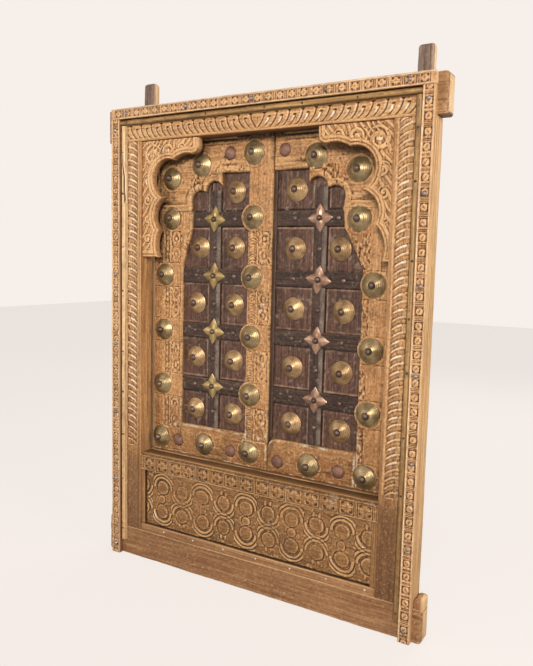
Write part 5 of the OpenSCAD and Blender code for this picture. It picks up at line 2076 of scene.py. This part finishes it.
            # Painted sheen down the bevelled right edge, in the chalk colour.
            painted_sheen = ramp(s, box.x1 - 8.5, box.x1 - 7.0) * (0.34 + 0.3 * noise(s, t, 14.0, self.seed + 35))
            return height, np.maximum(pale, painted_sheen), 0.0

        relief = Relief.carve(box.xs, box.zs, 0.8, dust_and_sheen)
        node = self.node("centre_batten")
        bar = Bar(
            node, Run.UPRIGHT, box.xs, (box.y0 + 0.3, box.y1), box.zs, BLACK_WOOD, relief,
            (box.x0 + 1, box.x1 - 1), fine_step=1.6, step=2.4, round_mm=0.9, wobble=0.25, seed=self.seed + 30,
            section=bevel, end_finish=BLACK_WOOD,
        )
        settle(bar.build(), self.body, [node])
        for i in (1, 2, 3, 4):
            node = self.node(f"cross_batten_{i}")
            b = Box.of(node)
            outline = np.array([(b.x0, b.z0), (b.x1, b.z0), (b.x1, b.z1), (b.x0, b.z1)])
            relief = Relief.carve(b.xs, b.zs, 0.8, dust)
            plate = Plate(
                node, outline, (b.y0 - 0.1, b.y1), BLACK_WOOD, Grain.LEVEL, relief, step=1.7, round_mm=1.4,
                seed=self.seed + 31 + i,
            )
            settle(plate.build(), self.body, [node])
        if self.side == "right":
            node = "right_meeting_bead"
            bar = Bar.over(
                node, Run.UPRIGHT, BLACK_WOOD, step=4.0, wobble=0.3, seed=self.seed + 37,
                end_finish=BLACK_WOOD,
            )
            settle(bar.build(), self.body, [node])

    def metal(self) -> None:
        """Set the bosses, stars, nails and studs."""
        for k, (part, finish) in enumerate((("frame_bosses", BRASS), ("panel_bosses", PANEL_BRASS))):
            found = islands(self.node(part))
            shape = boss_shape(found[0].radius, found[0].depth)
            self.fix(part, shape, [b.back for b in found], finish, BOSS_SET, 40 + k)
        found = islands(self.node("stars"))
        shape = star_shape(found[0].radius, found[0].depth)
        self.fix("stars", shape, [b.back for b in found], self.stars, STAR_SET, 42)
        nails = [(part, 5.5, 12, IRON) for part in ("frame_nails", "panel_nails", "star_nails")]
        nails += [("batten_studs", 3.0, 14, STUD_IRON), ("rail_studs", 5.0, 16, RUST_IRON)]
        for k, (part, rise, sides, finish) in enumerate(nails):
            found = islands(self.node(part))
            shape = nail_shape(found[0].radius, rise, shank=4.0, sides=sides, peak=0.66)
            self.fix(part, shape, [b.front for b in found], finish, NAIL_SET, 44 + k)

    def fix(
        self, part: str, shape: Shape, points: list[Place], finish: MetalFinish, loose: Loose, seed: int,
    ) -> None:
        """Set one kind of metal piece on the leaf.

        Args:
            part: Name without the side.
            shape: Vertices, faces and cavity marks.
            points: Places in millimetres.
            finish: Metal.
            loose: How unevenly they are set.
            seed: Which variation.
        """
        obj = self.setter.lay(self.node(part), shape, points, finish, loose, self.seed + seed)
        settle(obj, self.body, [self.node(part)])


@dataclass
class StripNails:
    """Nail heads along the face strips."""

    setter: Setter
    node: str = "face_strip_nails"

    def build(self) -> None:
        """Set the nails on the strips."""
        found = islands(self.node)
        shape = nail_shape(found[0].radius, rise=2.6, shank=5.0, sides=12, peak=0.6)
        obj = self.setter.lay(self.node, shape, [b.front for b in found], PALE_IRON, STRIP_SET, 7)
        settle(obj, "frame", [self.node])


@dataclass
class Brads:
    """Small brads along the mouldings and the bottom bead."""

    setter: Setter
    radius: float = 2.6
    spacing: float = 96.0
    first: float = 22.0
    last: float = 12.0
    stray: float = 30.0
    proud: float = 0.7

    def build(self) -> None:
        """Drive the brads into the mouldings and the bead."""
        points = []
        for k, node in enumerate(("left_moulding", "right_moulding", "top_moulding")):
            box = Box.of(node)
            upright = node != "top_moulding"
            low, high = box.zs if upright else box.xs
            places = np.arange(low + self.first, high - self.last, self.spacing)
            chance = lattice(np.arange(len(places)), np.full(len(places), k), 5)
            places = places + self.stray * (chance - 0.5)
            (mid_x, mid_z), y = box.mid, box.y0 - self.proud
            points += [(mid_x, y, p) if upright else (p, y, mid_z) for p in places]
        self.drive("moulding_brads", points, BRAD_IRON)
        bead_box = Box.of("bottom_panel_bead")
        places = np.linspace(bead_box.x0 + 60.0, bead_box.x1 - 18.0, 7)
        self.drive("bead_brads", [(p, bead_box.y0 - 0.9, bead_box.z0 + 7.0) for p in places], BRIGHT_IRON)

    def drive(self, name: str, points: list[Place], finish: MetalFinish) -> None:
        """Set one row of brads.

        Args:
            name: Name of the piece.
            points: Places of the heads' fronts in millimetres.
            finish: Metal.
        """
        shape = nail_shape(self.radius, rise=1.6, shank=4.0, sides=10, peak=0.6)
        obj = self.setter.lay(name, shape, points, finish, BRAD_SET, 9)
        settle(obj, "frame")


@dataclass
class Studio:
    """Camera, lights and the pale surround."""

    location: Place = (0.61945, -1.03075, 0.6111)
    right: Place = (0.86219, 0.50606, 0.02309)
    up: Place = (-0.07471, 0.08194, 0.99383)
    back: Place = (0.50105, -0.85860, 0.10846)
    lens: float = 35.81
    surround: str = "#F6EFEA"

    def build(self) -> None:
        """Set up the camera, the lights and the stage."""
        data = bpy.data.cameras.new("Camera")
        data.lens, data.sensor_width, data.sensor_fit = self.lens, 36.0, "AUTO"
        camera = bpy.data.objects.new("Camera", data)
        turn = Matrix((self.right, self.up, self.back)).transposed().to_4x4()
        camera.matrix_world = Matrix.Translation(self.location) @ turn
        bpy.context.scene.collection.objects.link(camera)
        bpy.context.scene.camera = camera
        self.world()
        self.lamp("Key", (1.4, -3.0, 1.65), 0.8, 106.0, "#FFF6EA")
        self.lamp("Side", (2.1, -0.5, 0.9), 1.0, 26.0, "#FFF8F0")
        self.lamp("Fill", (-1.5, -1.7, 1.1), 1.6, 18.0, "#FFF8F0")
        self.lamp("Rear", (0.2, 1.9, 1.7), 1.8, 26.0, "#FFF8F0")
        self.floor()
        bpy.context.scene.view_settings.view_transform = "Standard"

    @staticmethod
    def seen_rays(tree: bpy.types.NodeTree) -> Socket:
        """Weight of the rays that show the surround: direct, mirrored or passed through.

        Args:
            tree: Node tree to add to.

        Returns:
            The factor socket.
        """
        path = add_node(tree, "ShaderNodeLightPath").outputs
        seen = path["Is Camera Ray"]
        for kind in ("Is Glossy Ray", "Is Transmission Ray"):
            seen = add_node(tree, "ShaderNodeMath", {0: seen, 1: path[kind]}, operation="MAXIMUM").outputs[0]
        return seen

    def world(self) -> None:
        """Light the surround evenly and show it pale."""
        world = bpy.data.worlds.new("Surround")
        bpy.context.scene.world = world
        world.use_nodes = True
        tree = world.node_tree
        tree.nodes.clear()
        path = self.seen_rays(tree)
        daylight = {"Color": linear("#FBF4EC"), "Strength": 0.25}
        soft = add_node(tree, "ShaderNodeBackground", daylight).outputs[0]
        shown = {"Color": linear(self.surround), "Strength": 1.0}
        seen = add_node(tree, "ShaderNodeBackground", shown).outputs[0]
        both = add_node(tree, "ShaderNodeMixShader", {0: path, 1: soft, 2: seen}).outputs[0]
        add_node(tree, "ShaderNodeOutputWorld", {"Surface": both})

    def lamp(self, name: str, place: Place, size: float, watts: float, color: str) -> None:
        """Hang a soft square lamp that points at the window's middle.

        Args:
            name: Lamp name.
            place: Where it hangs, in metres.
            size: Side length in metres.
            watts: Power.
            color: Tint.
        """
        data = bpy.data.lights.new(name, "AREA")
        data.size, data.energy, data.color = size, watts, linear(color)[:3]
        lamp = bpy.data.objects.new(name, data)
        lamp.location = place
        lamp.rotation_mode = "QUATERNION"
        lamp.rotation_quaternion = (Vector((0.0, 0.0, 0.45)) - Vector(place)).to_track_quat("-Z", "Y")
        bpy.context.scene.collection.objects.link(lamp)

    def floor(self) -> None:
        """Lay a plain pale floor."""
        sh = Shader("Pale studio floor")
        tint = linear(self.surround)
        grey = tuple(c * 0.14 for c in tint[:3]) + (1.0,)
        matt = add_node(sh.tree, "ShaderNodeBsdfDiffuse", {"Color": grey}).outputs[0]
        shine = sh.math("MULTIPLY", self.seen_rays(sh.tree), 0.85)
        glow = add_node(sh.tree, "ShaderNodeEmission", {"Color": tint, "Strength": shine}).outputs[0]
        both = add_node(sh.tree, "ShaderNodeAddShader", {0: matt, 1: glow}).outputs[0]
        add_node(sh.tree, "ShaderNodeOutputMaterial", {"Surface": both})
        span, depth = 6000.0, 0.5
        verts = [(-span, -span, -depth), (span, -span, -depth), (span, span, -depth), (-span, span, -depth)]
        floor = new_object("floor", np.array(verts), [[0, 1, 2, 3]], [sh.material])


def main() -> None:
    """Build the looks."""
    logging.basicConfig(level=logging.INFO, format="%(name)s: %(message)s")
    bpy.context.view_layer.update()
    setter = Setter(setter_tree())
    left = Leaf(
        "left", setter, 200, YELLOW_BRASS, ["hanging_stile", "meeting_stile", "top_rail", "bottom_rail"],
        rough=[(100, 88, 24), (165, 54, 18), (78, 190, 26), (205, 66, 9)],
    )
    right = Leaf(
        "right", setter, 300, COPPERY, ["hanging_stile", "top_rail", "bottom_rail"],
        rough=[(118, 74, 20), (98, 92, 20), (164, 54, 15), (72, 205, 26), (96, 55, 10)],
    )
    for part in (FaceFrame(), RearFrame(), StripNails(setter), Brads(setter), left, right, Studio()):
        LOG.info("building %s", type(part).__name__)
        part.build()


if __name__ == "__main__":
    main()
